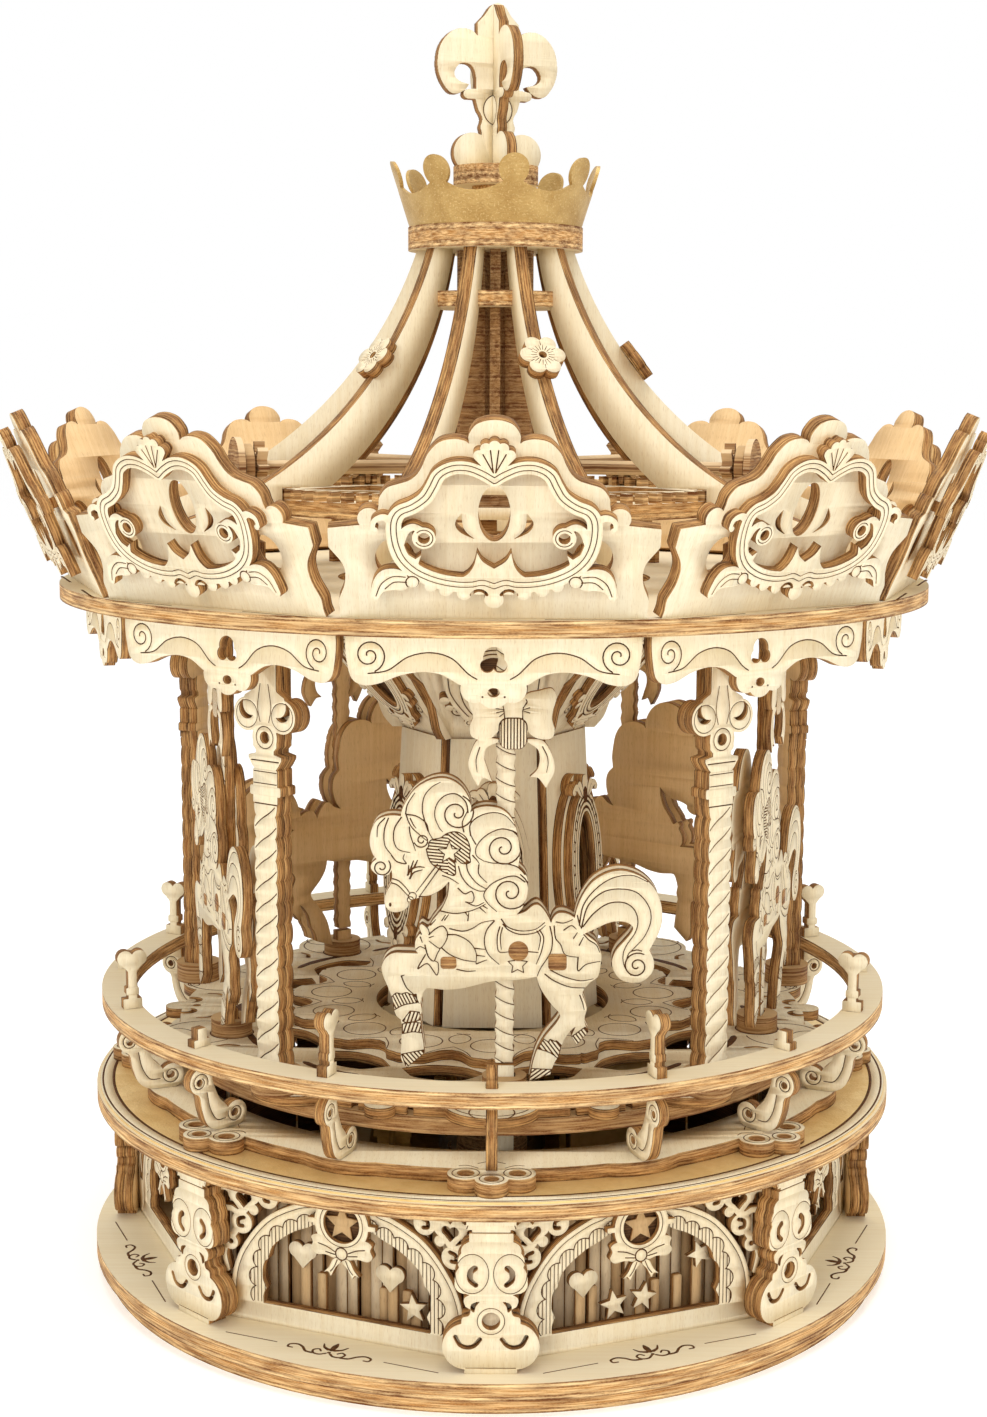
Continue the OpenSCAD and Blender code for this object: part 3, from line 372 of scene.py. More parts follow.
print("plates ready")

# %% [markdown]
# A carousel repeats its pieces five to ten times round the axis, so placing is done once
# per kind of piece. A standing plate faces outwards at an azimuth, with its foot at some
# distance from the axis. A radial plate stands edge-on. A ring lies flat.

# %% Stand, turn and lay plates
MM = 0.001


def turn(degrees, axis="Z"):
    return Matrix.Rotation(math.radians(degrees), 4, axis)


def move(x, y, z):
    return Matrix.Translation((x, y, z))


def stand(azimuths, distance, z, lean=0.0, shift=(0, 0)):
    """Inner face at distance, outline upright, thickness outwards; lean tips the top out.
    shift slides the outline in its own plane."""
    return [turn(a) @ move(0, -distance, z) @ turn(90 + lean, "X") @ move(*shift, 0) for a in azimuths]


def edge_on(azimuths, z, thick):
    """Outline x is the distance from the axis; the plate is centred on its radial plane."""
    return [move(0, 0, z) @ turn(a - 90) @ move(0, thick/2, 0) @ turn(90, "X") for a in azimuths]


def lay(z, azimuths=(0,)):
    """Flat, with the outline's y pointing away from the viewer at azimuth 0."""
    return [move(0, 0, z) @ turn(a) for a in azimuths]


print("a plate at azimuth 90 stands at", [round(c, 1) for c in stand([90], 50, 0)[0].to_translation()])

# %% [markdown]
# Now the finishes. A shader is a sum of small formulas. Adding and linking every Math node by
# hand hides the formula, so a socket is wrapped in a class with operators: writing
# mask*0.5 + 0.2 adds the two Math nodes by itself.

# %% Shader maths as expressions
class Value:
    """A socket that can be used in arithmetic."""

    def __init__(self, sheet, socket):
        self.sheet, self.socket = sheet, socket

    def _math(self, operation, *others):
        return self.sheet.node("ShaderNodeMath", {"operation": operation}, dict(enumerate(others)))

    def __add__(self, other): return self._math("ADD", self, other)
    def __radd__(self, other): return self._math("ADD", other, self)
    def __sub__(self, other): return self._math("SUBTRACT", self, other)
    def __rsub__(self, other): return self._math("SUBTRACT", other, self)
    def __mul__(self, other): return self._math("MULTIPLY", self, other)
    def __rmul__(self, other): return self._math("MULTIPLY", other, self)
    def absolute(self): return self._math("ABSOLUTE", self)

    def between(self, low, high):
        """0 below low, 1 above high, a straight ramp in between."""
        return self.sheet.node("ShaderNodeMapRange", {"clamp": True},
                               {"Value": self, "From Min": low, "From Max": high})


class Nodes:
    """A node tree in which every node is made by one method."""

    def __init__(self, tree):
        self.tree = tree

    def node(self, kind, settings=None, inputs=None, output=0):
        """The type first, then its settings, then a value or a link for each socket."""
        n = self.tree.nodes.new(kind)
        for key, value in (settings or {}).items():
            setattr(n, key, value)
        for key, value in (inputs or {}).items():
            self.put(n.inputs[key], value)
        return Value(self, n.outputs[output])

    def put(self, socket, value):
        if isinstance(value, Value):
            self.tree.links.new(value.socket, socket)
        elif isinstance(value, tuple) and len(value) == 3 and socket.type == "RGBA":
            socket.default_value = (*value, 1)
        else:
            socket.default_value = value


print("shader formulas ready")

# %% [markdown]
# A finish is one material under construction. Its patterns are noises with a size in
# millimetres each way. On a cut plate they follow the sheet's own plane through the UV layer,
# so that the grain runs with the board. A solid of the frame has no UV layer, and there the
# patterns follow the frame's axes.

# %% A material and its noises
UV_MM = 100      # millimetres of sheet to one unit of the UV layer
METRE = 1000     # millimetres


class Finish(Nodes):
    """A material under construction."""

    def __init__(self, name, solid=False):
        self.material = bpy.data.materials.new(name)
        self.material.use_nodes = True
        super().__init__(self.material.node_tree)
        self.shader = self.tree.nodes["Principled BSDF"]
        self.solid = solid

    def set(self, **inputs):
        for key, value in inputs.items():
            self.put(self.shader.inputs[key.replace("_", " ")], value)

    def sheet_uv(self, across, along):
        """Millimetres divided by the size of a feature each way."""
        here = self.node("ShaderNodeTexCoord", output="Object" if self.solid else "UV")
        size = ((METRE/along, METRE/across, METRE/across) if self.solid
                else (UV_MM/across, UV_MM/along, 1.0))
        return self.node("ShaderNodeVectorMath", {"operation": "MULTIPLY"}, {0: here, 1: size})

    def noise(self, across, along, detail=3.0, roughness=0.55, distortion=0.0):
        return self.node("ShaderNodeTexNoise", {"noise_dimensions": "3D" if self.solid else "2D"},
                         {"Vector": self.sheet_uv(across, along), "Scale": 1.0, "Detail": detail,
                          "Roughness": roughness, "Distortion": distortion})

    def mix(self, factor, a, b):
        """Colours a and b; the sockets of a Mix node for colours are 0, 6 and 7."""
        return self.node("ShaderNodeMix", {"data_type": "RGBA"}, {0: factor, 6: a, 7: b}, 2)

    def bump(self, height, distance, strength=1.0):
        """distance is in millimetres."""
        return self.node("ShaderNodeBump", None,
                         {"Height": height, "Distance": distance*MM, "Strength": strength})

    def streaks_and_drift(self):
        """What all sliced wood shows: long soft streaks, and slow changes of tone."""
        return (self.noise(0.9, 26, 4.0, 0.6, 0.3).between(0.36, 0.66),
                self.noise(15, 60, 2.0, 0.5).between(0.3, 0.7))


print("noises are sized in millimetres")

# %% [markdown]
# Basswood is almost white and nearly without figure: the eye sees long soft streaks, tiny
# pores and a slow drift of tone. A picture of wood would repeat and blur close up. Three
# noises, stretched along the grain, stay sharp at any distance. The same wood in darker tones
# is the inner sheet, the slats and the stained pieces.

# %% Sliced faces
def wood_face(name, pale, deep, fleck):
    f = Finish(name)
    streak, drift = f.streaks_and_drift()
    pores = f.noise(0.16, 1.9, 2.0, 0.5).between(0.60, 0.72)
    colour = f.mix(pores*0.35, f.mix(streak*0.45 + drift*0.45, pale, deep), fleck)
    f.set(Base_Color=colour, Roughness=0.62 + 0.14*streak, Specular_IOR_Level=0.25,
          Normal=f.bump(streak*0.5 - pores*0.8, 0.03, 0.5))
    return f.material


CREAM, HONEY, PORE = (0.88, 0.775, 0.56), (0.80, 0.66, 0.42), (0.56, 0.37, 0.18)
face = wood_face("basswood_face", CREAM, HONEY, PORE)
back = wood_face("basswood_back", (0.86, 0.59, 0.30), (0.74, 0.48, 0.22), (0.42, 0.22, 0.08))
slat = wood_face("basswood_slat", (0.94, 0.76, 0.50), (0.84, 0.64, 0.38), (0.5, 0.3, 0.12))
tan = wood_face("tan_ply", (0.62, 0.42, 0.21), (0.50, 0.31, 0.14), (0.24, 0.12, 0.04))
print("sliced faces:", [m.name for m in (face, back, slat, tan)])

# %% [markdown]
# A laser leaves the most telling mark of such a kit: edges scorched brown, in patches, with
# the plies showing as stripes. The UV layer of a wall holds its height in the sheet, so a
# cosine of that height draws the plies, and noises stretched along the cut break them up.

# %% Scorched edges and burnt lines
def scorched(f, across, fibre, dots, patches, light, brown, char):
    """across counts sheets: the middle ply lies half way between two whole numbers."""
    wave = f.node("ShaderNodeMath", {"operation": "COSINE"}, {0: across*(2*math.pi)})
    middle = (0.5 - wave*0.5).between(0.3, 0.7)
    glue = wave.absolute().between(0.5, 0.05)
    skin = wave.between(0.72, 0.96)
    base = f.mix(middle*0.35 + fibre*0.62, light, brown)
    colour = f.mix(patches*0.5 + dots*fibre*0.35 + glue*0.42 + skin*0.5, base, char)
    f.set(Base_Color=colour, Roughness=0.75 - 0.1*patches, Specular_IOR_Level=0.2,
          Normal=f.bump(middle*0.6 - fibre*0.5, 0.06, 0.6))
    return colour


def cut_edge(name, thickness, light, brown, char):
    """The edge of a plate; light, brown and char are its three tones."""
    f = Finish(name)
    uv = f.node("ShaderNodeTexCoord", output="UV")
    across = f.node("ShaderNodeSeparateXYZ", None, {0: uv}, 1)*(UV_MM/thickness)
    waver = f.noise(4.0, 0.9, 2.0)*0.16 - 0.08
    fibre = f.noise(7, 0.3, 4.0, 0.7).between(0.4, 0.62)
    dots = f.noise(0.5, 0.22, 2.0, 0.6).between(0.4, 0.6)
    patches = f.noise(9, 1.8, 3.0, 0.6).between(0.42, 0.68)
    scorched(f, across + waver, fibre, dots, patches, light, brown, char)
    return f.material


def burnt(name, brown, char):
    """The floor of a burnt line."""
    f = Finish(name)
    soot = f.noise(0.7, 0.7, 3.0).between(0.35, 0.65)
    f.set(Base_Color=f.mix(soot, brown, char), Roughness=0.8 - 0.08*soot, Specular_IOR_Level=0.15)
    return f.material


EDGE_LIGHT, EDGE_BROWN, EDGE_CHAR = (0.98, 0.69, 0.34), (0.52, 0.24, 0.062), (0.15, 0.05, 0.012)
THIN, THICK = 2.2, 3.3  # millimetres: most pieces are cut from the thin sheet
edge_thin = cut_edge("edge_thin_ply", THIN, (0.72, 0.41, 0.15), (0.28, 0.11, 0.028),
                     (0.085, 0.03, 0.008))
edge_thick = cut_edge("edge_thick_ply", THICK, (0.78, 0.47, 0.19), (0.34, 0.145, 0.038),
                      (0.11, 0.038, 0.01))
burn = burnt("burnt_line", (0.15, 0.06, 0.018), (0.065, 0.025, 0.007))
PLY = [face, edge_thin, burn, back]          # pale outside, darker inside
TWO_SIDED = [face, edge_thin, burn, face]    # seen from both sides
TAN = [tan, edge_thin, burn, tan]
print("edges and lines:", [m.name for m in (edge_thin, edge_thick, burn)])

# %% [markdown]
# Every kind of piece then becomes one Blender object: the points of all its copies, one UV
# layer with the millimetres of the sheet, and four finishes for the face, the cut edge, the
# burnt lines and the back. Separate objects would be easier to move about, but there would
# be hundreds. Each copy starts on another stretch of grain, so that no two look alike.

# %% Build one object from its copies
GRAIN_STEP = 37.0  # millimetres of grain from one copy to the next


def build(name, mesh, places, body, nodes=(), finishes=PLY):
    """One object from a Mesh and the places of its copies."""
    p = np.vstack(mesh.points)
    t = np.vstack(mesh.tris)
    finish, uv = np.concatenate(mesh.finish), np.concatenate(mesh.uv)
    all_p, all_t, all_f, all_uv = [], [], [], []
    for k, place in enumerate(places):
        m = np.array(place)
        all_p.append((p @ m[:3, :3].T + m[:3, 3])*MM)
        all_t.append(t + k*len(p))
        all_f.append(finish)
        on_sheet = (GRAIN_STEP*(k + 1) % 211, GRAIN_STEP*1.7*(k + 1) % 193)
        on_edge = (GRAIN_STEP*k % 97, 0)
        all_uv.append(uv + np.where((finish == EDGE)[:, None, None], on_edge, on_sheet))
    p, t = np.vstack(all_p), np.vstack(all_t)
    finish, uv = np.concatenate(all_f), np.concatenate(all_uv)
    data = bpy.data.meshes.new(name)
    data.vertices.add(len(p))
    data.vertices.foreach_set("co", p.ravel())
    data.loops.add(3*len(t))
    data.loops.foreach_set("vertex_index", t.astype(np.int32).ravel())
    data.polygons.add(len(t))
    data.polygons.foreach_set("loop_start", np.arange(len(t), dtype=np.int32)*3)
    data.polygons.foreach_set("material_index", finish.astype(np.int32))
    for f in finishes:
        data.materials.append(f)
    layer = data.uv_layers.new(name="sheet")
    layer.data.foreach_set("uv", (uv*(1/UV_MM)).astype(np.float32).ravel())
    data.update(calc_edges=True)
    obj = bpy.data.objects.new(name, data)
    bpy.context.scene.collection.objects.link(obj)
    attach(obj, body)
    if nodes:
        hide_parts(*nodes)
    print(f"{name}: {len(places)} x {len(mesh.points)} prisms, {len(t)} triangles")


# %% [markdown]
# The roof's boards come first, because they carry most of the ornament. A board is a shaped
# panel that leans out by 22 degrees, with an oval, two crescents and two round holes in it.
# Half of it is drawn, and the mirrored board adds the other half. The places and heights are
# read from the frame, so that the plates stand on the solids that carry them.

# %% Roof boards
def low(node): return [c/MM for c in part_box(node)[0]]
def high(node): return [c/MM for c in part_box(node)[1]]


TENTH = range(0, 360, 36)
FIFTH = range(0, 360, 72)
LEAN, BOARD_T, BOARD_IN = 22.0, 2.6, 86.0
Z_ROOF, Z_ROOF_TOP = low("roof_disc")[2], high("roof_disc")[2]
BOARD_Z = Z_ROOF_TOP + BOARD_T*math.sin(math.radians(LEAN))
BOARD_TOP = 37.8

b = Board(-29, 29, -0.5, 38.5, 0.11, True)
board_shape = join(b.area([(0, 0), (0, 0), (27.4, 0), (27.4, 0), (27.2, 1.6), (27.4, 3.4), (27, 4.7),
                           (26.3, 6.6), (26.1, 9), (26.7, 11), (28, 12.8), (29, 14.2), (29.4, 16),
                           (29.5, 17.5), (29.5, 17.5), (23.1, 18.2), (23.1, 18.2), (20.6, 20),
                           (20, 21.6), (19.8, 23.4), (18.5, 25.2), (16.3, 26), (14.6, 26.6),
                           (13.2, 27.8), (12.2, 29.6), (11.3, 31.7), (9.4, 33.7), (7, 34.3), (5.1, 34),
                           (4.3, 33.4), (4.3, 33.4), (4.4, 35), (3.3, 36.8), (1.6, 37.6),
                           (0, BOARD_TOP), (0, BOARD_TOP)]), b.disc(21.7, 19.4, 2.0))
crescent = b.area([(5.6, 20.6), (5.6, 20.6), (6.8, 18.6), (5.9, 16.8), (3.1, 15.4), (3.1, 15.4),
                   (4.8, 16.8), (5.5, 18.4)])
board_shape = cut(board_shape, b.disc(0, 20.4, 2.8, 5.3), crescent, b.disc(17.3, 11.8, 3.5, 3.9))
build("board_panels", plate(b, board_shape, 0, BOARD_T),
      stand(TENTH, BOARD_IN, BOARD_Z, LEAN), "carousel", ["board_panels"])

# %% [markdown]
# In front of each board hangs a cartouche: a frame of scrolls, held off by two pads so that
# its shadow falls on the board. It is drawn as a maker would with a wide pen: one long stroke
# for the border, then the hooks, the curls round their holes, the shell on top and the
# leaves below. A second, thinner pen follows the same path and burns a double line.

# %% Cartouches
def on_oval(y, rx, ry, degrees):
    """A point of an oval round (0, y), at an angle from its top."""
    a = math.radians(degrees)
    return rx*math.sin(a), y + ry*math.cos(a)


frame_path = [(0, 26.2), (0, 26.2), (1.8, 27.4), (4.4, 28.5), (7.1, 28.5), (9.4, 27.2), (10.6, 24.9),
              (11.8, 22.9), (13.9, 21.3), (16.1, 20.3), (17.1, 18.8), (17.3, 16.6), (16.9, 13.8),
              (15.8, 11.2), (13.6, 9), (10.4, 7.4), (7, 6.6), (4, 6.5), (2, 6.9), (0, 6.2)]
b = Board(-23, 23, 1.5, 35, 0.085, True)
shell = join(*[b.stroke([(0.3*k, 27.6), on_oval(28.1, 3.35, 4.5, 26*k)], 0.3, 0.98, False)
               for k in range(3)])
hook = join(b.stroke([(16.9, 16), (17.5, 18.2), (19, 19.3), (20.6, 18.6), (20.9, 17.1)], 0.9, 0.35),
            b.disc(20.5, 16.9, 0.55))
leaf = b.area([(14.9, 6.0), (15.2, 8.4), (17, 9.5), (19.4, 9.2), (20.9, 7.4), (21.6, 4.4), (21.2, 3.4),
               (21.2, 3.4), (20.3, 3.4), (19.4, 4.9), (17.6, 5.4), (16.2, 5.3)])
knot = b.disc(14.2, 6.9, 1.15)
curl = join(cut(b.disc(12.1, 15.4, 2.05), b.disc(12.1, 15.4, 1.05)),
            b.stroke([(12.6, 17.0), (14, 17.5), (15.4, 16.6), (16.4, 14.2)], 0.55, 0.85))
cusp = b.area([(15.6, 12.8), (13.6, 11.4), (12.6, 12.2), (12.6, 12.2), (13.1, 10.6), (12.6, 9.0),
               (12.6, 9.0), (15.4, 10)], False)
crest = b.area([(0, 5.4), (0, 5.4), (5, 5.6), (6.4, 7.4), (6.4, 7.4), (4.6, 8.5), (3.5, 10.2),
                (2.95, 12.7), (2.95, 12.7), (2.0, 11.0), (0, 9.6), (0, 9.6)])
drops = join(b.disc(0, 3.6, 1.7), b.disc(5.2, 4.8, 1.3), b.disc(8.4, 5.4, 1.2), b.disc(11, 6.2, 1.1),
             b.rect(0, 4.6, 4.6, 6.4))
notch = b.arc(2.6, 3.9, 1.5, 25, 155, 0.28)
border = b.stroke(frame_path, 1.12, 1.55)
cartouche = cut(join(border, shell, hook, leaf, knot, curl, cusp, crest, drops), notch)
middle = abs(b.stroke(frame_path, 0, reach=2.6) - 0.48) - 0.09
leaf_lines = join(b.stroke([(15.4, 7.9), (17.6, 8.0), (19.6, 6.6), (20.6, 4.2)], 0.1),
                  b.stroke([(15.2, 6.9), (17.4, 6.9), (19, 5.6)], 0.1), b.hoop(0.12, 14.2, 6.9, 1.15))
shell_lines = join(*[b.stroke([(0.2, 27.7), on_oval(28, 3.1, 3.9, 13 + 26*k)], 0.12, 0.12, False)
                     for k in range(2)])
lines = join(middle, leaf_lines, shell_lines, b.arc(12.1, 15.4, 1.55, 40, 330, 0.09))
CART_GAP = 1.4
cart_w = BOARD_T + CART_GAP
cart = plate(b, cartouche, cart_w, cart_w + THIN, lines)
pads = Board(-20, 20, 12, 24, 0.2, True)
cart = pack(cart, plate(pads, pads.disc(17, 17.6, 1.1), BOARD_T, cart_w + 0.1))
build("board_cartouches", cart, stand(TENTH, BOARD_IN, BOARD_Z, LEAN, shift=(0, 2.0)), "carousel",
      ["board_cartouches"])

# %% [markdown]
# Below the roof disc hang the valances: two soft lobes, a heart-shaped hole and a small
# pierced drop at the middle, with a spiral burnt into each lobe. The heart hangs upside down:
# it is one disc and a pair of smaller ones under it, all cut from the field.

# %% Valances
VAL_IN = 82.8
b = Board(-27.5, 27.5, -14, 0.5, 0.1, True)
val = join(b.area([(0, 0), (0, 0), (26.6, 0), (26.6, 0), (26.7, -2), (26.4, -5), (25.6, -8),
                   (23.6, -9.3), (20.6, -9), (17, -7.6), (13, -6.9), (9.4, -7.4), (6.2, -9.2),
                   (6.2, -9.2), (3, -9.6), (0, -9)]), b.disc(0, -10.4, 3.1), b.disc(3.4, -9.9, 2.6),
           b.disc(0, -7.6, 2.2))
val = cut(val, b.disc(0, -4.2, 1.9), b.disc(1.15, -5.7, 1.3), b.disc(0, -10.6, 1.1, 0.85))
lines = join(b.spiral(22.4, -3.9, 3.1, -1.7, 250, 0.13, 0.4),
             b.stroke([(22.6, -7.2), (19, -6.6), (15.4, -4.2), (11.4, -3.4), (7.6, -4.4), (4.6, -7.2),
                       (3.0, -8.2)], 0.12), b.disc(2.0, -11.4, 0.2))
build("valances", plate(b, val, 0, THIN, lines), stand(TENTH, VAL_IN, Z_ROOF), "carousel",
      ["valances"])

# %% [markdown]
# A rider is a horse cut twice, with its pole between the two plates. A horse can't be built
# from discs and strokes, so its outline is one smooth run of points. A point that is given
# twice is a corner, as where the leg meets the hoof.

# %% The horse's outline
b = Board(-26, 34, -0.5, 62, 0.1)
horse_outline = [(-20.9, 37.6), (-20.8, 36.4), (-20.1, 35.3), (-18.8, 34.9), (-17.2, 35.3),
                 (-16.3, 36.2), (-16.1, 37.1), (-14.2, 37.8), (-12, 38.2), (-9.9, 39.4), (-8.6, 40.7),
                 (-8.6, 40.7), (-8.8, 38.2), (-9.6, 36), (-10.5, 34.7), (-11.6, 33.3), (-12.5, 32),
                 (-13.6, 32.6), (-14.3, 31.9), (-14.1, 31), (-14.9, 29.5), (-15, 27.7), (-14.4, 26.7),
                 (-14.4, 26.7), (-16.7, 26.8), (-19.1, 26.8), (-20.7, 25.8), (-21.5, 24), (-21.2, 22.2),
                 (-20.4, 20.3), (-19.6, 18), (-19.3, 16.3), (-18.7, 14.3), (-17.8, 13.5), (-17.8, 13.5),
                 (-17.6, 12), (-17.7, 9.6), (-17.8, 7.1), (-17.7, 5.4), (-16.7, 3.7), (-16.7, 3.7),
                 (-13.2, 6.7), (-13.2, 6.7), (-13.4, 8.6), (-13.7, 10.6), (-13.8, 12.5), (-14.1, 13.9),
                 (-13.7, 15.2), (-14, 16.8), (-14, 16.8), (-13.6, 18.4), (-13, 19.6), (-12, 19.8),
                 (-9.2, 19.5), (-5.9, 19.8), (-3.1, 20.5), (-0.2, 21.2), (2.6, 21.4), (6.3, 21.7),
                 (8.6, 22.2), (8.6, 22.2), (8.8, 20.9), (9.4, 19.3), (10.7, 17.4), (12.3, 15.7),
                 (13.2, 14.5), (12.7, 13.2), (11.2, 11.3), (10, 9.7), (8.9, 7.7), (8.3, 6.1),
                 (7.7, 3.7), (7.2, 1), (7.2, 1), (11.5, 2.5), (11.5, 2.5), (11.8, 3.9), (12.4, 5.3),
                 (13.1, 6.3), (13.5, 8.1), (14.1, 9.7), (15.4, 11.5), (16.3, 12.2), (16.3, 12.2),
                 (15.4, 10.2), (15.4, 10.2), (16.5, 8.4), (16.5, 8.4), (18.8, 11.1), (18.8, 11.1),
                 (18.1, 12.7), (18, 14.1), (18.4, 15.8), (18, 17.3), (17.5, 18.6), (17.8, 19.7),
                 (19, 21.1), (20.5, 22.3), (21, 24.8), (21.1, 26.7), (20.2, 28.9), (18.9, 30),
                 (17.8, 30.8), (17.8, 30.8), (19.9, 31.8), (22.2, 32.9), (24.2, 33.3), (26.1, 33),
                 (27.2, 32), (26.5, 30.5), (25.3, 29.1), (23.9, 27.4), (23.2, 25.4), (23.5, 23.5),
                 (24.8, 21.8), (26.6, 21.1), (28.6, 21.2), (30.3, 22.2), (31.3, 23.9), (31.2, 25.8),
                 (30.4, 27.6), (30.4, 27.6), (31.3, 29.3), (32.2, 31.1), (32.8, 33.5), (32.6, 36.4),
                 (31.6, 39.2), (29.7, 41.4), (27.2, 42.8), (24.4, 43.3), (21.6, 42.6), (19.1, 40.9),
                 (17.3, 38.3), (16.3, 35.8), (15.9, 33.9), (15.9, 33.9), (15, 34.5), (13.8, 34.9),
                 (12.6, 34.8), (11.7, 33.9), (11.3, 32.8), (11.3, 32.8), (10.8, 34), (9.8, 35.6),
                 (8.7, 36.5), (7.6, 36.2), (6.3, 35.1), (4.6, 34.5), (4.6, 34.5), (5.9, 36.2),
                 (6.7, 38.6), (6.8, 41), (6.2, 42.7), (4.9, 44), (4.9, 44), (5.2, 46.6), (4.9, 49.2),
                 (4.3, 52), (3.1, 54.1), (1.3, 55.4), (-1.3, 55.8), (-3.5, 55.3), (-4.4, 54.5),
                 (-4.4, 54.5), (-4.2, 55.8), (-4.8, 57.7), (-6.1, 59.6), (-8, 60.9), (-10.1, 61.3),
                 (-12.6, 60.7), (-15, 59.1), (-16.6, 56.9), (-17.5, 55), (-17.7, 53.8), (-17.7, 53.8),
                 (-19, 54), (-20.8, 53.8), (-22.4, 52.9), (-23.4, 51), (-23.7, 48.6), (-23.2, 46.5),
                 (-22.4, 45.4), (-22.4, 45.4), (-23.3, 44.6), (-23.5, 43.6), (-22.7, 42.6),
                 (-21.5, 42.1), (-20.1, 42.4), (-19.5, 43.3), (-19.5, 43.3), (-19.4, 41.9),
                 (-19.7, 40.4), (-20.4, 39.1)]
horse = b.area(horse_outline)
print("points of the outline:", len(horse_outline))

# %% [markdown]
# The curls of the mane and the tail, the bridle and the saddle are burnt lines. They are pen
# strokes that taper, sorted by what they draw, and the six tight curls are spirals.

# %% Lines on the horse
mane_lines = [[(-4.8, 54.6), (-5.3, 56.7), (-7.1, 58.2), (-9.2, 57.9), (-10.8, 56.2), (-11.2, 53.9),
               (-10.4, 51.7), (-9.7, 50.8)],
              [(-12.5, 51), (-13.2, 53.2), (-13.6, 55.3), (-13.2, 57.7), (-11.8, 59.5),
               (-10.1, 60.5)],
              [(-16.8, 54.3), (-16.4, 56.2), (-15, 58.4)],
              [(-16.7, 54.2), (-16.3, 52.9), (-15.5, 51.5), (-14.1, 50.2), (-12.8, 49.1)],
              [(-16.7, 54.2), (-14.6, 53.8), (-12.8, 52.4), (-12.3, 50.6), (-11.4, 49.1)],
              [(-15.9, 53.4), (-15.4, 52.3), (-14.8, 51.5)],
              [(-20.8, 53.4), (-22.1, 51.9), (-22.3, 49.7)],
              [(-20.1, 53.4), (-20.9, 51), (-20.8, 48.1), (-19.5, 46.2)],
              [(-17.6, 53.6), (-18.9, 51.5), (-19.1, 49.1), (-18.2, 47.3), (-16, 46.7)],
              [(-16.1, 51.7), (-15.9, 50.2), (-15.4, 48.6), (-14.9, 47.1)],
              [(-19.5, 46.1), (-18.5, 44.9), (-16.7, 44.5), (-17.3, 45.5), (-17, 46.4)],
              [(-4.3, 50.1), (-4.4, 52.2), (-2.8, 53.8), (-0.1, 54.6), (2.4, 54), (4.4, 51.8)],
              [(-5.6, 50.8), (-5.9, 52.7), (-4.9, 54.9)],
              [(4.6, 50.5), (3.8, 51), (1.5, 51.4), (-1.2, 50.2), (-3.1, 48.1), (-3.2, 46.2),
               (-1.8, 45.1)],
              [(-3.3, 48.4), (-3.9, 49.4), (-4.3, 50.3)],
              [(6.2, 42.5), (4.8, 43.9), (2.5, 44.6), (-0.1, 44.7), (-1.7, 45.1)],
              [(6.2, 41), (4.5, 42.1), (2.5, 41.9), (-0.2, 40.6), (-1.7, 38.6), (-1.1, 36.9),
               (0.8, 35.1)],
              [(-6.6, 44), (-6, 42), (-4.6, 40.2), (-2.8, 39.2), (-1.5, 39.2)],
              [(-5.1, 45.1), (-4.8, 43), (-3.2, 40.8), (-1.3, 39.6)],
              [(-2.7, 44.3), (-2.7, 42.5), (-1.1, 40.8)], [(-3.9, 46.2), (-3.1, 45.3), (-2.6, 44.5)],
              [(-6.7, 39.7), (-5.4, 38.6), (-4.1, 39.1), (-3.6, 37.9), (-4, 36.9), (-5.2, 37)],
              [(-5.2, 37), (-3.3, 36.2), (-1.7, 36.9)], [(-9.7, 42.2), (-8.3, 41.7), (-6.6, 40.6)]]
bridle_lines = [[(-10.7, 44.4), (-14.8, 38.9)], [(-10.1, 43.9), (-14.1, 38.1)],
                [(-19.6, 41.6), (-18.1, 41.1), (-16.7, 39.7), (-16, 38.6)],
                [(-19.8, 40.8), (-18.4, 40.3), (-17, 38.9), (-16.3, 38.1)],
                [(-14.2, 38), (-12, 38.2), (-9.9, 39.4), (-8.5, 40.8)],
                [(-8.5, 40.8), (-8.8, 38.2), (-9.7, 36)]]
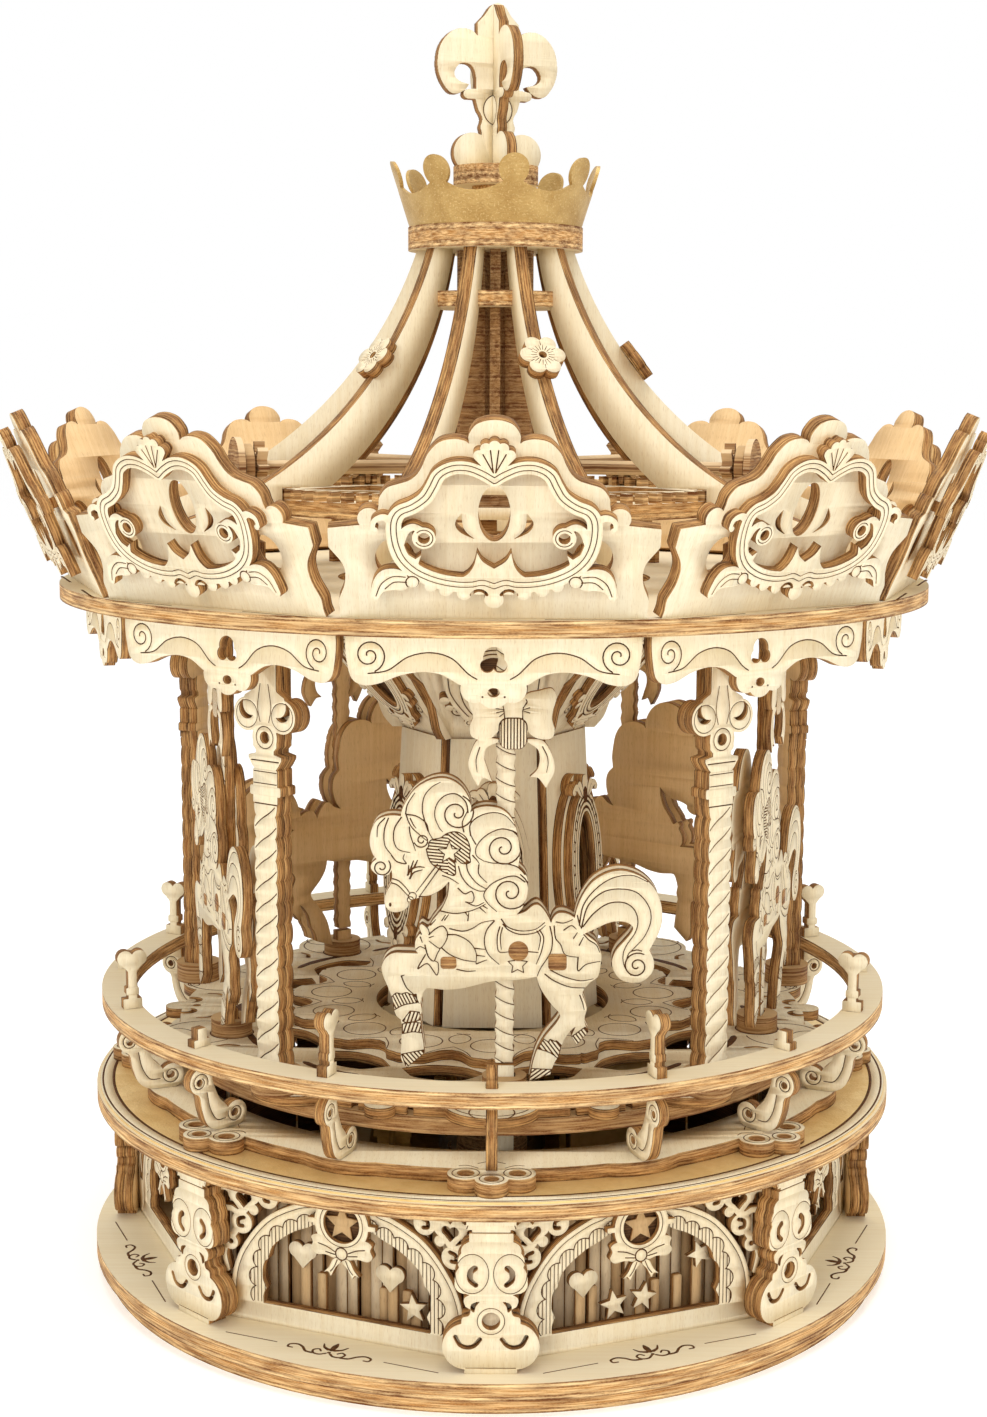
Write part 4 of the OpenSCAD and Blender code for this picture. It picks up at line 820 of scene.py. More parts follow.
body_lines = [[(-10.1, 35.2), (-7.3, 34.7), (-4, 35.3), (-1.4, 36.6)], [(-9.8, 33.3), (-9.1, 34.4)],
              [(-9.3, 33.4), (-8.5, 34.5)], [(-4.8, 33.3), (-4.6, 34.9)],
              [(-5.2, 34.8), (-4.8, 34.2)], [(-2.5, 35.9), (-1.3, 34.8)], [(-1.8, 36.2), (-1, 35.7)],
              [(-8.3, 31.7), (-5.9, 31.2), (-4, 31.7), (-2.1, 32.9), (0.3, 33.4)],
              [(-8.8, 30.5), (-6.8, 30.4), (-4.5, 29.1), (-3.2, 27), (-3.2, 24.7)],
              [(-9.8, 27.8), (-8.2, 26.5), (-5.8, 25.5), (-3.3, 25.1)], [(-3.4, 27.8), (-1.5, 27.6)],
              [(-3.1, 26.4), (-1.5, 26.2)], [(-3.1, 24.7), (-1.1, 25.5)],
              [(-6.9, 23.6), (-5, 23.2), (-3.3, 23.3)], [(-12, 32.4), (-11, 33.5)],
              [(0.3, 33.2), (-1.1, 31.5), (-1.6, 29.1), (-0.8, 26.6), (1.3, 24.6)],
              [(1.7, 33.6), (2.9, 32.1), (5.3, 31.3), (8.2, 31.6), (10.1, 33)],
              [(2, 32.6), (3.2, 31.4), (5.4, 30.6), (8.4, 31), (10.2, 32.4)],
              [(11.1, 32.2), (11.6, 29.6), (11.2, 26.9), (9.4, 24), (8.7, 22.3)],
              [(1.4, 32.1), (0.9, 30), (1.2, 27.2), (3, 27.1)], [(1.9, 31.9), (1.5, 30), (1.7, 27.6)],
              [(9.1, 31.5), (9.9, 29.9), (9.5, 27.3), (8.5, 24.7)],
              [(8.6, 31.3), (9.3, 29.9), (8.9, 27.5)], [(6.8, 27.2), (8.9, 27)],
              [(11.9, 32.3), (12.2, 29.9), (13.2, 28.6), (14.1, 26.6), (16.6, 26.1)],
              [(12.3, 33.1), (13.8, 32.9), (15.5, 33.6)], [(13.8, 31.5), (15.2, 32.4), (16.2, 31.7)],
              [(15.7, 29.9), (16.4, 31)], [(16.8, 28.5), (17.6, 30.1)],
              [(16.4, 34.4), (16.7, 33), (17.2, 31.8)],
              [(17.7, 30.6), (18.7, 29.5), (20.1, 28.6), (20.8, 27.1)],
              [(16.6, 26.1), (16.6, 23.4), (18.2, 24.7), (20.9, 25.3)],
              [(10.2, 22.7), (12.1, 21.3), (15.3, 20.1), (19, 20)],
              [(11.3, 23.5), (13.9, 22.2), (17.1, 21.4), (19.6, 21.8)],
              [(-17.7, 22.2), (-16.7, 19.9), (-15.2, 18.4), (-14.2, 16.7)],
              [(-17.7, 22.2), (-17.1, 22.4)], [(17, 18.5), (17.6, 16.9), (17.9, 15.6)],
              [(8.5, 22), (9.2, 19.9), (11.1, 17), (13, 14.9)]]
bow_lines = [[(-13.8, 30.6), (-14.3, 31.9), (-13.8, 32.7), (-12.6, 31.8), (-12.2, 30.7)],
             [(-14, 31), (-15, 29.5), (-15.1, 27.5), (-14.1, 28.1), (-13.1, 27.7)],
             [(-12.3, 30.5), (-11.1, 31.6), (-9.7, 32.2), (-8.8, 31.1), (-8.9, 29.5), (-10.1, 27.8),
              (-11.4, 28.5), (-12.3, 29.2)],
             [(-13.1, 28.4), (-12.5, 26.2), (-11.4, 25.2), (-10.8, 26.5), (-10.1, 27.8)],
             [(-13, 26.5), (-14.5, 23.7), (-12.6, 24.7), (-10.8, 22.4), (-10.5, 24.7), (-11.3, 25.3)],
             [(-14, 30), (-13.6, 28.9)], [(-12.2, 29.9), (-11.4, 30.2)]]
tail_lines = [[(17.2, 32), (18.4, 36.3), (21.2, 39), (24.5, 39.7), (27.8, 39), (30.1, 36.4),
               (30.6, 33.4), (29.3, 30.1), (26.9, 27.4)],
              [(17.5, 32.2), (19.5, 34.8), (22.3, 36.8), (25.3, 37), (27.3, 35.7), (28.1, 33.4),
               (27.6, 31), (26, 28.6), (25.3, 26.6), (25.6, 24.3), (26.9, 22.5)],
              [(16.8, 32.5), (17.5, 36.4), (19.8, 39.6), (23, 41.8), (26.8, 42.4), (29.9, 41.1)],
              [(28.9, 27.4), (27.9, 27.6), (26.5, 27), (25.9, 25.3)]]

PEN = 0.14  # half the width of a burnt line on the horse
strokes = [b.stroke(points, PEN, 0.08)
           for group in (mane_lines, bridle_lines, body_lines, bow_lines, tail_lines)
           for points in group]
curls = [b.spiral(-7.0, 54.4, 3.6, -1.7, 70, 0.14, 0.35),
         b.spiral(1.9, 47.6, 3.9, -1.8, 60, 0.14, 0.35), b.spiral(3.3, 38.9, 4.1, -1.8, 60, 0.14, 0.35),
         b.spiral(-21.5, 43.8, 1.9, -1.5, 40, 0.13, 0.35),
         b.spiral(-13.7, 49.1, 1.5, 1.4, 200, 0.13, 0.35),
         b.spiral(28.0, 24.4, 2.7, 1.7, 60, 0.14, 0.35)]
print("strokes:", len(strokes), "curls:", len(curls))

# %% [markdown]
# A rosette with a pale star, striped wraps on the legs and dark hooves are areas filled with
# close lines. The fill is a zigzag of the distance along one direction, so one number
# sets its pitch and another its slant, and the outline cuts it off.

# %% Rosette, wraps and face
def hatch(field, across, up, pitch):
    """Parallel lines on a field, square to the direction (across, up)."""
    return both(field, abs((b.true_x*across + b.y*up) % pitch - pitch/2) - PEN)


rosette_area = [(-12.5, 47.7), (-12, 49.1), (-10.1, 49.6), (-8.8, 50.5), (-6.9, 50.8), (-5.2, 49.7),
                (-4.4, 47.7), (-4.5, 46.2), (-4.4, 44.8), (-5.9, 44.6), (-7.3, 45.5), (-7.2, 42.5),
                (-8.4, 42.4), (-10.1, 43.3), (-12, 44.8), (-12.8, 47.2)]
wraps = [[(-19.6, 18), (-19.6, 18), (-18.7, 18.8), (-17.7, 18.6), (-16.7, 18.9), (-15.7, 18.5),
          (-14.8, 18.6), (-14.8, 18.6), (-14.6, 16.9), (-14.6, 16.9), (-17.2, 16.4), (-19.1, 15.4),
          (-19.1, 15.4)],
         [(-17.5, 12.6), (-17.5, 12.6), (-15.5, 13), (-13.6, 12.7), (-13.6, 12.7), (-13.7, 10.8),
          (-13.7, 10.8), (-15.5, 11), (-17.5, 10.6), (-17.5, 10.6)],
         [(10, 9.7), (10, 9.7), (11, 9.1), (11.3, 9.6), (12.2, 9.2), (12.6, 9.3), (13.5, 8.4),
          (13.5, 8.4), (12.9, 5.7), (12.9, 5.7), (11.3, 6.9), (8.9, 7.7), (8.9, 7.7)],
         [(-17.7, 6.5), (-17.7, 6.5), (-13.2, 7.4), (-13.2, 7.4), (-13.2, 6.7), (-13.2, 6.7),
          (-16.7, 3.7), (-16.7, 3.7)],
         [(7.6, 3.7), (7.6, 3.7), (11.8, 3.5), (11.8, 3.5), (11.5, 2.5), (11.5, 2.5), (7.2, 0.9),
          (7.2, 0.9)],
         [(15.4, 10.1), (15.4, 10.1), (18.1, 12.1), (18.1, 12.1), (18.8, 11.1), (18.8, 11.1),
          (16.5, 8.4), (16.5, 8.4)],
         [(-16, 15.2), (-16, 15.2), (-14.2, 15), (-14.2, 15), (-13.8, 13.5), (-13.8, 13.5),
          (-16.3, 12.8), (-17.5, 13.2), (-17.5, 13.2)]]
rosette = cut(b.area(rosette_area), b.star(-8.4, 46.7, 2.3) - 0.1)
rosette = join(both(hatch(rosette, 0.1, 1, 0.62), b.rect(-13, -8.6, 42, 51)),
               both(hatch(rosette, 0.6, 0.8, 0.62), b.rect(-8.6, -4, 42, 51)),
               abs(b.area(rosette_area)) - 0.11, abs(b.star(-8.4, 46.7, 2.3)) - 0.09)
slants = ((1, 0.5), (0.9, -0.3), (0.8, 0.6), (0.75, 0.65), (0.6, -0.8), (0.8, 0.6), (0.9, -0.3))
wrapped = []
for points, slant in zip(wraps, slants):
    wrap = both(b.area(points), horse)
    wrapped += [abs(wrap) - 0.1, hatch(wrap, *slant, 0.66)]
eye = [b.stroke(points, 0.2, 0.1)
       for points in ([(-16.4, 42.3), (-15.7, 43.4), (-14.4, 43.9), (-13.2, 43.8)],
                      [(-16.3, 42.4), (-16.2, 44.2)], [(-15.9, 43.2), (-15.3, 45.1)],
                      [(-15.2, 43.7), (-14.5, 45.2)], [(-16, 41.6), (-15.2, 42.8), (-13.6, 43.3)],
                      [(-15.6, 43.6), (-15.9, 41.6)])]
face_marks = [b.disc(-19.8, 36.4, 0.26, 0.42), b.hoop(0.09, -15.5, 38.1, 0.75),
              b.hoop(0.09, -15.9, 37.4, 0.6)]
star = abs(b.star(4.9, 24.6, 2.0, 0.5)) - 0.1
horse_lines = join(*strokes, *curls, rosette, *wrapped, *eye, *face_marks, star)
print("wraps and hooves:", len(wraps))

# %% [markdown]
# The two sheets are held by a round pin and two tenons, whose end grain shows on the outer
# one. The inner sheet turns its plain brown side to the axis. Each rider rides on its own
# body, so every horse is an object of its own, made from the same plates.

# %% Build the horses
HORSE_OUT, HORSE_IN = 60.8, 56.4
pin_board = Board(-12, 16, 20, 31, 0.12)
pins = join(pin_board.disc(5.0, 27.3, 1.95), pin_board.rect(-10.1, -7.0, 23.7, 26.1, 0.7),
            pin_board.rect(10.8, 14.4, 23.5, 26.8, 0.8))
END_GRAIN = [cut_edge("end_grain", 3.0, (0.62, 0.36, 0.14), (0.36, 0.16, 0.05), (0.16, 0.06, 0.02))]*4
pin_plate = plate(pin_board, pins, 2.0, 2.32)
Z_DECK = high("deck_plate")[2]
near_plate = plate(b, horse, 0, THIN, horse_lines)
far_plate = plate(b, horse, 0, THIN)
for i, a in enumerate(FIFTH, 1):
    rider, solid = f"rider_{i}", f"horse_{i}"
    outside = stand([a], HORSE_OUT, Z_DECK)
    build(f"horse_{i}_outer", near_plate, outside, rider, [solid])
    build(f"horse_{i}_inner", far_plate, stand([a], HORSE_IN, Z_DECK), rider, [solid])
    build(f"horse_{i}_pins", pin_plate, outside, rider, (), END_GRAIN)

# %% [markdown]
# The pole runs from under the deck to its yoke under the spire. On the real one slanting
# lines and a scalloped edge make a flat strip look like twisted brass. The lines are one
# zigzag along the pole, and the edge is a cosine of the same pitch, so that they agree.

# %% Poles and bows
POLE_X, POLE_W, POLE_IN, TWIST = 2.4, 3.8, 58.6, 3.1
BOW_UP = 69.8
pole_low, pole_high = low("pole_1")[2], high("pole_1")[2]
yoke_z = pole_high - 3.5
b = Board(-9.5, 9.5, pole_low - 1, pole_high + 1, 0.12)
left, right = POLE_X - POLE_W/2, POLE_X + POLE_W/2
pole = join(b.rect(left, right, pole_low, yoke_z), b.rect(-8.6, 8.6, yoke_z - 3.5, yoke_z + 3.5, 1.2))
pole = cut(pole, b.rect(-6.2, 6.2, yoke_z - 1.2, yoke_z + 1.2))
strip = b.rect(left, right, Z_DECK + 4, yoke_z - 6)
aside = b.x - POLE_X
twist = both(strip, abs((b.y + 0.45*aside - 0.09*aside**2) % TWIST - TWIST/2) - 0.11)
scallop = 0.16 + 0.16*np.cos(2*math.pi*(b.y + 0.45*np.sign(aside)*1.9)/TWIST)
pole = both(pole, join(strip + scallop, cut(pole, strip - 0.4)))
pole_plate = plate(b, pole, 0, THIN, twist)
b = Board(-8.5, 10.5, -11, 10, 0.08)
knot_shape = b.rect(-1.3, 4, -3, 3.1, 1.7)
wings = join(b.area([(-0.3, 4.6), (-1.9, 6.6), (-4.2, 9), (-6.5, 8.9), (-7.4, 7), (-6.9, 5.1),
                     (-6.3, 3.3), (-6.9, 1.6), (-6.7, -0.3), (-5.3, -1.1), (-3, -0.9), (-1.1, 1.2)]),
             b.area([(2.8, 4.9), (3.8, 7.6), (6.4, 8.4), (8.7, 8.8), (9.6, 7.1), (9, 4.8), (8.8, 2.8),
                     (9.3, 0.9), (8.8, -0.7), (6.9, -1), (5, -0.3), (3.6, 1.6)]),
             b.area([(-0.2, 2.8), (-0.5, 5.1), (-0.7, 6.8), (0.7, 6.6), (2.8, 7), (4, 6.1), (3.2, 4.7),
                     (3.2, 2.8)]))
tails = join(b.area([(-1, -1.3), (-3, -0.8), (-5.3, -1.1), (-6.5, -3), (-7.2, -5.8), (-6.5, -8.1),
                     (-5.3, -10.2), (-5.3, -10.2), (-4.5, -8.7), (-3.6, -8.7), (-2.6, -9.3),
                     (-2.6, -9.3), (-3.6, -6.5), (-4.1, -4.6), (-3.6, -2.6)]),
             b.area([(3.6, -1.1), (6.9, -1.2), (8.6, -3.4), (9.3, -5.7), (9.2, -7.6), (7.7, -10.4),
                     (7.7, -10.4), (6.7, -9), (6, -8.4), (4.6, -8.3), (4.6, -8.3), (6, -6.9),
                     (6.5, -4.9), (6, -2.8)]))
bow = join(knot_shape, wings, tails)
stripes = both(knot_shape, abs((b.true_x/0.62) % 1 - 0.5)*0.62 - 0.12)
lines = join(abs(knot_shape) - 0.13, stripes,
             *[b.stroke(points, 0.12, 0.06)
               for points in ([(-5.0, -2.6), (-5.7, -5.0), (-5.5, -7.4)],
                              [(7.0, -2.4), (7.9, -4.2), (8.1, -5.8), (7.8, -7.4)],
                              [(-1.9, 4.9), (-0.3, 4.7)], [(-1.8, 4.1), (-0.4, 4.5)],
                              [(-1.2, 3.4), (-0.3, 4.1)], [(4.5, 5.1), (3.2, 4.7)],
                              [(4.5, 4.1), (3.3, 4.5)], [(3.8, 6.7), (4, 6), (3.2, 5.1)],
                              [(-0.2, 2.8), (-0.5, 5.1), (-0.9, 6.6)],
                              [(3.2, 2.8), (3.2, 4.7), (3.9, 6.2)])])
bow_plate = plate(b, bow, 0, 1.8, lines)
for i, a in enumerate(FIFTH, 1):
    build(f"pole_{i}_strip", pole_plate, stand([a], POLE_IN, 0), f"rider_{i}", [f"pole_{i}"])
    build(f"pole_{i}_bow", bow_plate, stand([a], HORSE_OUT, Z_DECK + BOW_UP, shift=(POLE_X, 0)),
          f"rider_{i}", [f"pole_{i}"])

# %% [markdown]
# The spire is ten curved ribs that sweep from the roof up to the crown. A rib stands on edge,
# so its striped edge faces the viewer between two pale sides. Its curves are true arcs: the
# rib is what lies outside one great circle and inside another.

# %% Ribs
RIB_T = 2.9
OUTER_ARC, INNER_ARC = (97.8, 97.4, 85.8), (89.5, 83.9, 79)  # x, y and radius
rib_top = low("crown_base")[2] - Z_ROOF_TOP
wheel_r, wheel_z = high("crown_wheel")[0] + 0.75, high("crown_wheel")[2] - Z_ROOF_TOP + 0.4
b = Board(7.5, 80, -0.5, rib_top + 0.5, 0.12)
sweep = both(b.rect(8.2, 79, 2, rib_top), b.disc(*INNER_ARC), -b.disc(*OUTER_ARC))
foot = b.area([(68, 0), (79, 0), (79, 7.9), (74, 7.9), (71, 5.4), (68, 4.4)], False)
rib = cut(join(sweep, foot), b.rect(0, wheel_r, 0, wheel_z))
build("roof_ribs", plate(b, rib, 0, RIB_T), edge_on(range(18, 378, 36), Z_ROOF_TOP, RIB_T), "carousel",
      ["roof_ribs"], TWO_SIDED)

# %% [markdown]
# On every second rib sits a flower of six petals with fine ticks round its eye. It lies
# square on the rib's edge, so its place is worked out from the arc that the edge follows.

# %% Flowers
FLOWER_TURN, PETAL_R = 53.0, 3.05
sixty = np.radians(range(0, 360, 60))
b = Board(-5.4, 5.4, -5.4, 5.4, 0.06)
petals = join(b.disc(0, 0, 2.6),
              *[b.disc(PETAL_R*math.cos(a), PETAL_R*math.sin(a), 1.78) for a in sixty])


def tick(a, r0, r1):
    """A short line that points at the eye of the flower."""
    ends = [(r0*math.cos(a), r0*math.sin(a)), (r1*math.cos(a), r1*math.sin(a))]
    return b.stroke(ends, 0.08, 0.05, False)


ticks = join(*[tick(a, 1.3, 2.5) for a in np.radians(range(0, 360, 20))],
             *[tick(a, 2.4, 3.4) for a in np.radians(range(30, 390, 60))])
reach = OUTER_ARC[2] - 0.2
flower_y = OUTER_ARC[0] - reach*math.sin(math.radians(FLOWER_TURN))
flower_z = Z_ROOF_TOP + OUTER_ARC[1] - reach*math.cos(math.radians(FLOWER_TURN))
build("flowers", plate(b, cut(petals, b.disc(0, 0, 0.85)), 0, THIN, ticks, 0.15),
      stand(range(18, 378, 72), flower_y, flower_z, FLOWER_TURN - 90), "carousel", ["flowers"])

# %% [markdown]
# The finial is a fleur-de-lis, cut twice and halved together, so it reads as a lily from
# every side. Its outline is drawn once at half width, with the heights of the whole model,
# and mirrored by the board. Each plate has a slit from one end for the other plate.

# %% Finial
Z_FINIAL, FINIAL_H = low("finial_plates")[2], high("finial_plates")[2] - low("finial_plates")[2]
b = Board(-14.5, 14.5, -0.5, FINIAL_H + 0.5, 0.1, True)
b.y = b.y + Z_FINIAL
lily = join(b.area([(0, 271.5), (0, 271.5), (1.5, 270.8), (3.0, 268.8), (4.6, 267.2), (4.6, 267.2),
                    (4.6, 264.6), (4.6, 264.6), (6, 265.6), (8.6, 265.8), (11.2, 264.4), (13.0, 261.6),
                    (13.4, 258), (12.6, 255.2), (10.8, 252.9), (9, 252.6), (7.4, 253.4), (6.4, 254.6),
                    (6.4, 254.6), (8.6, 255.2), (9.7, 256.6), (8.8, 258.4), (7.2, 258.9), (5.6, 258.2),
                    (4.9, 256.2), (4.8, 253.8), (4.8, 253.8), (7.2, 253.4), (7.6, 252.4), (6.8, 251.7),
                    (5.0, 251.6), (5.0, 251.6), (4.4, 249.6), (3.5, 247.8), (3.9, 246.0), (3.9, 246.0),
                    (3.6, 244.4), (5, 244.2), (6.6, 243.4), (6.2, 242.2), (6.2, 242.2), (0, 240),
                    (0, 240)]), b.disc(5.6, 240.6, 4.2), b.rect(0, 8.8, 238, 241))
lily = both(cut(lily, b.stroke([(5.6, 241.8), (7.0, 241.2), (7.6, 239.8)], 0.5, 0.3)),
            b.rect(0, 14, 238, 272))
lines = b.hoop(0.11, 0, 249.6, 3.2)
b.y = b.y - Z_FINIAL
slits = (b.rect(-1.15, 1.15, -1, FINIAL_H/2 - 1), b.rect(-1.15, 1.15, FINIAL_H/2 - 2, FINIAL_H + 1))
for k, slit in enumerate(slits):
    place = turn(20 + 90*k) @ stand([0], -THIN/2, Z_FINIAL)[0]
    build(f"finial_lily_{k + 1}", plate(b, cut(lily, slit), 0, THIN, lines, both_faces=True), [place],
          "carousel", ["finial_plates"], TWO_SIDED)

# %% [markdown]
# The crown is the only piece bent from a sheet: a gold card rolled into a flaring band. Low
# sweeping valleys run between eight round lobes on narrow necks. A lobe is wider than its
# neck, so the edge can't be a height for each angle. Instead each point of the edge has its
# own column of points, which runs straight up to the neck and then fans out into the lobe.
# The grid of these columns, doubled for the card's thickness, is one closed shell.

# %% Crown
CROWN_R, CROWN_Z = 18.3, low("crown")[2]
BAND_R, FLARE = 21.0, math.tan(math.radians(17.6))
CROWN_LOBES, LOBE_R, LOBE_Z, NECK_W, NECK_Z = 8, 3.1, 10.3, 1.99, 8.0
SECTOR = math.pi/CROWN_LOBES*BAND_R


def half_edge():
    """From a lobe's top down its side and along half a valley: distance round the band,
    height, and where in the neck the column starts, or None in the valley."""
    edge = []
    for d in range(90, -49, -6):
        a = math.radians(d)
        edge.append((LOBE_R*math.cos(a), LOBE_Z + LOBE_R*math.sin(a), NECK_W*(90 - d)/138))
    return edge + [(u, 6.3 + 1.7*((SECTOR - u)/(SECTOR - 2))**2, None)
                   for u in np.linspace(2.15, SECTOR, 14)]


def column(u, top, neck, rows, neck_rows=5):
    """Distance round the band and height of the points under one point of the edge."""
    for j in range(rows):
        if neck is None:
            yield u, top*j/(rows - 1)
        elif j <= neck_rows:
            yield neck, NECK_Z*j/neck_rows
        else:
            up, all_up = j - neck_rows, rows - 1 - neck_rows
            yield neck + (u - neck)*up/all_up, NECK_Z + (top - NECK_Z)*up/all_up


def crown_shell(rows=11, card=0.8):
    edge = half_edge()
    whole = [(-u, z, None if neck is None else -neck) for u, z, neck in edge[:0:-1]] + edge[:-1]
    points, quads = [], []
    for lobe in range(CROWN_LOBES):
        for u, top, neck in whole:
            for inner in (0, 1):
                for along, z in column(u, top, neck, rows):
                    a = math.radians(10 + 45*lobe) + along/BAND_R
                    r = CROWN_R - card*inner + z*FLARE
                    points.append((r*math.sin(a)*MM, -r*math.cos(a)*MM, (CROWN_Z + z)*MM))
    ring = 2*rows
    for k in range(0, len(points), ring):
        p, q = k, (k + ring) % len(points)
        for j in range(rows - 1):
            quads.append((p + j, q + j, q + j + 1, p + j + 1))
            quads.append((p + rows + j, p + rows + j + 1, q + rows + j + 1, q + rows + j))
        quads.append((p, p + rows, q + rows, q))
        quads.append((p + rows - 1, q + rows - 1, q + ring - 1, p + ring - 1))
    data = bpy.data.meshes.new("crown_band")
    data.from_pydata(points, [], quads)
    data.update()
    return data


def place_object(name, data):
    """Puts a mesh, lamp or camera into the scene."""
    obj = bpy.data.objects.new(name, data)
    bpy.context.scene.collection.objects.link(obj)
    return obj


crown_data = crown_shell()
crown = place_object("crown_band", crown_data)
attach(crown, "carousel")
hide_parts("crown")
print("crown:", len(crown_data.polygons), "faces")

# %% [markdown]
# Gold card has a fine pebbled grain, like leather, and shines softly. Pure metal would turn
# dark where it reflects the dark side of the room. Half metal keeps its own yellow-brown and
# still shows a soft shine.

# %% Gold card
def gold_card(name, light, deep):
    f = Finish(name, solid=True)
    pebble = f.noise(0.55, 0.55, 3.0, 0.6)
    wear = f.noise(5, 5, 3.0, 0.55).between(0.35, 0.65)
    spark = f.noise(0.4, 0.4, 2.0, 0.6).between(0.56, 0.7)
    f.set(Base_Color=f.mix(spark*0.45, f.mix(wear, light, deep), (0.85, 0.66, 0.33)), Metallic=0.5,
          Roughness=0.42 + 0.12*wear, Normal=f.bump(pebble, 0.2, 0.9))
    return f.material


crown_data.materials.append(gold_card("gold_card", (0.56, 0.37, 0.13), (0.44, 0.27, 0.08)))
print("crown wears", crown_data.materials[0].name)

# %% [markdown]
# Five columns carry the roof. Each is two plates glued face to face, of which the rear one is
# plainer and closes the holes of the front one. The shaft is a string of beads with slanting
# burnt lines, which reads as a twisted rod; the capital is a collar, a cup, a ring and a small
# lily. Every part of it is a field of its own, so that each could be tuned alone.

# %% Columns
COL_D, BEAD = 72.6, 4.3
column_low = low("columns")[2]
b = Board(-9, 9, column_low - 0.5, Z_ROOF + 0.5, 0.1, True)
beads = b.x - 2.35 - 0.6*np.sqrt(abs(np.cos(math.pi*b.y/BEAD)))
shaft = join(both(beads, b.rect(-4, 4, column_low, 113)), b.rect(-2.3, 2.3, column_low, 134),
             b.rect(-3, 3, 127, Z_ROOF))
collar = join(b.rect(-3.9, 3.9, 113.6, 115.5, 0.4), b.rect(-3.1, 3.1, 112, 118.8, 0.3))
cup = b.area([(0, 118.6), (2.5, 118.6), (3.3, 119.4), (4.2, 120.8), (4.2, 121.4), (2.3, 121.8),
              (2.2, 122.4), (3, 123.2), (3, 126), (2.2, 127.2), (0, 127.2)], False)
ring = b.disc(0, 125, 3.15)
fleur = join(b.disc(4.5, 129.3, 3.3),
             b.area([(0, 126), (2.2, 126.2), (4, 126.2), (6, 126.6), (6.6, 129), (5, 133), (3.2, 134),
                     (1.8, 137.6), (0, 138.6)], False))
capital = cut(join(shaft, collar, cup, ring, fleur), b.disc(0, 125, 1.2),
              cut(b.disc(4.5, 130.3, 2.0), b.disc(3.4, 131.2, 2.1)))
slant = b.y - 0.55*b.true_x - 0.1*b.true_x*abs(b.true_x)
twist = both(b.rect(-2.75, 2.75, column_low + 2.6, 111.6), abs(slant % BEAD - BEAD/2) - 0.15)
lines = join(twist, b.rect(-3, 3, 111.9, 112.15), b.hoop(0.1, 0, 125, 2.15),
             b.rect(-3.6, 3.6, 120.3, 120.55), b.rect(-3, 3, 115.9, 116.1), b.rect(-3, 3, 118.2, 118.4),
             b.hoop(0.08, 4.5, 129.3, 2.7), b.stroke([(1.1, 128), (1.7, 131), (1.0, 135.4)], 0.1),
             b.rect(-2.6, 2.6, 140.5, 140.7))
front = plate(b, capital, 0, THIN, lines)
rear = plate(b, join(shaft, collar, cup, ring, b.disc(4.5, 129.3, 3.3)), -THIN, 0)
build("columns", pack(front, rear), stand(range(36, 396, 72), COL_D, 0), "carousel", ["columns"])

# %% [markdown]
# In the middle stands a fixed column of six leaning panels, plain in themselves. A dark
# strip stands edge-on in every corner: painted shade for the dark gap between the panels.

# %% Centre column
HEX_D, HEX_LEAN = 18.7, -2.65
Z_COLUMN, HEX_H = low("column_panels")[2], 62.6
SIXTH, HEX_CORNERS = range(0, 360, 60), range(30, 390, 60)
b = Board(-11.5, 11.5, -0.5, HEX_H + 0.5, 0.12, True)
panel = b.area([(0, 0), (10.75, 0), (9.09, HEX_H), (0, HEX_H)], False)
build("column_panels", plate(b, panel, 0, THIN), stand(SIXTH, HEX_D, Z_COLUMN, HEX_LEAN), "base",
      ["column_panels"])

# A dark finish of painted shade: it stands where the real model shows only the dark of gaps and holes.
SHADE_PLY = [cut_edge("painted_shade_ply", THIN, (0.20, 0.10, 0.04), (0.10, 0.045, 0.016),
                    (0.04, 0.017, 0.006))]*4
b = Board(7.5, 21.5, -0.5, HEX_H + 0.5, 0.15)
corner = b.area([(8, 0.4), (21.2, 0.4), (19.0, HEX_H), (8, HEX_H)], False)
build("corner_shade_strips", plate(b, corner, 0, THIN), edge_on(HEX_CORNERS, Z_COLUMN, THIN), "base", (),
      SHADE_PLY)

# %% [markdown]
# Each panel wears an oval mirror frame of two layers. The lower one is wider, so that its
# dark edge frames the upper one, which has a palmette on top and five beads at the foot. The
# mirror itself is a dark oval sheet behind both, in the dark finish of the painted shade.

# %% Mirror frames
FRAME_MID = 33.8
b = Board(-9.4, 9.4, -20.4, 20.4, 0.08, True)
feathers = [b.stroke([(0.3*k, 14), (0.6 + 1.5*k, 17.6), (0.3 + 2.3*k, 19.2 - 1.2*k)], 0.5, 0.8)
            for k in range(3)]
drop = join(b.disc(0, -17.2, 1.9), b.disc(2.7, -16.0, 1.4), b.disc(4.5, -13.8, 1.2))
hole = b.disc(0, 0, 3.9, 12.0)
mirror_front = cut(join(b.disc(0, 0, 7.0, 16.3), *feathers, drop), hole)
lines = join(b.hoop(0.12, 0, 0, 4.6, 12.9), b.hoop(0.12, 0, 0, 5.5, 14.2),
             b.hoop(0.12, 0, 0, 6.3, 15.3),
             *[b.hoop(0.09, 5.95*math.cos(a), 14.8*math.sin(a), 0.5, 1.1)
               for a in np.radians(range(-60, 61, 20))],
             *[b.stroke([(0.5 + 0.6*k, 15), (1.3 + 1.6*k, 18.2 - 0.6*k)], 0.11, 0.08, False)
               for k in range(3)], b.disc(0, 15.6, 1.0, 1.8), b.disc(0, -15.2, 0.9, 1.5),
             b.hoop(0.1, 0, -17.4, 1.1))
mirror_back = join(b.disc(0, 0, 8.0, 17.4), b.disc(0, 17.2, 3.2, 2.8), b.disc(0, -17.2, 2.4))
mirror_back = cut(mirror_back, b.disc(0, 0, 4.5, 12.8))
frame_mesh = pack(plate(b, mirror_front, THIN, 2*THIN, lines), plate(b, mirror_back, 0, THIN))
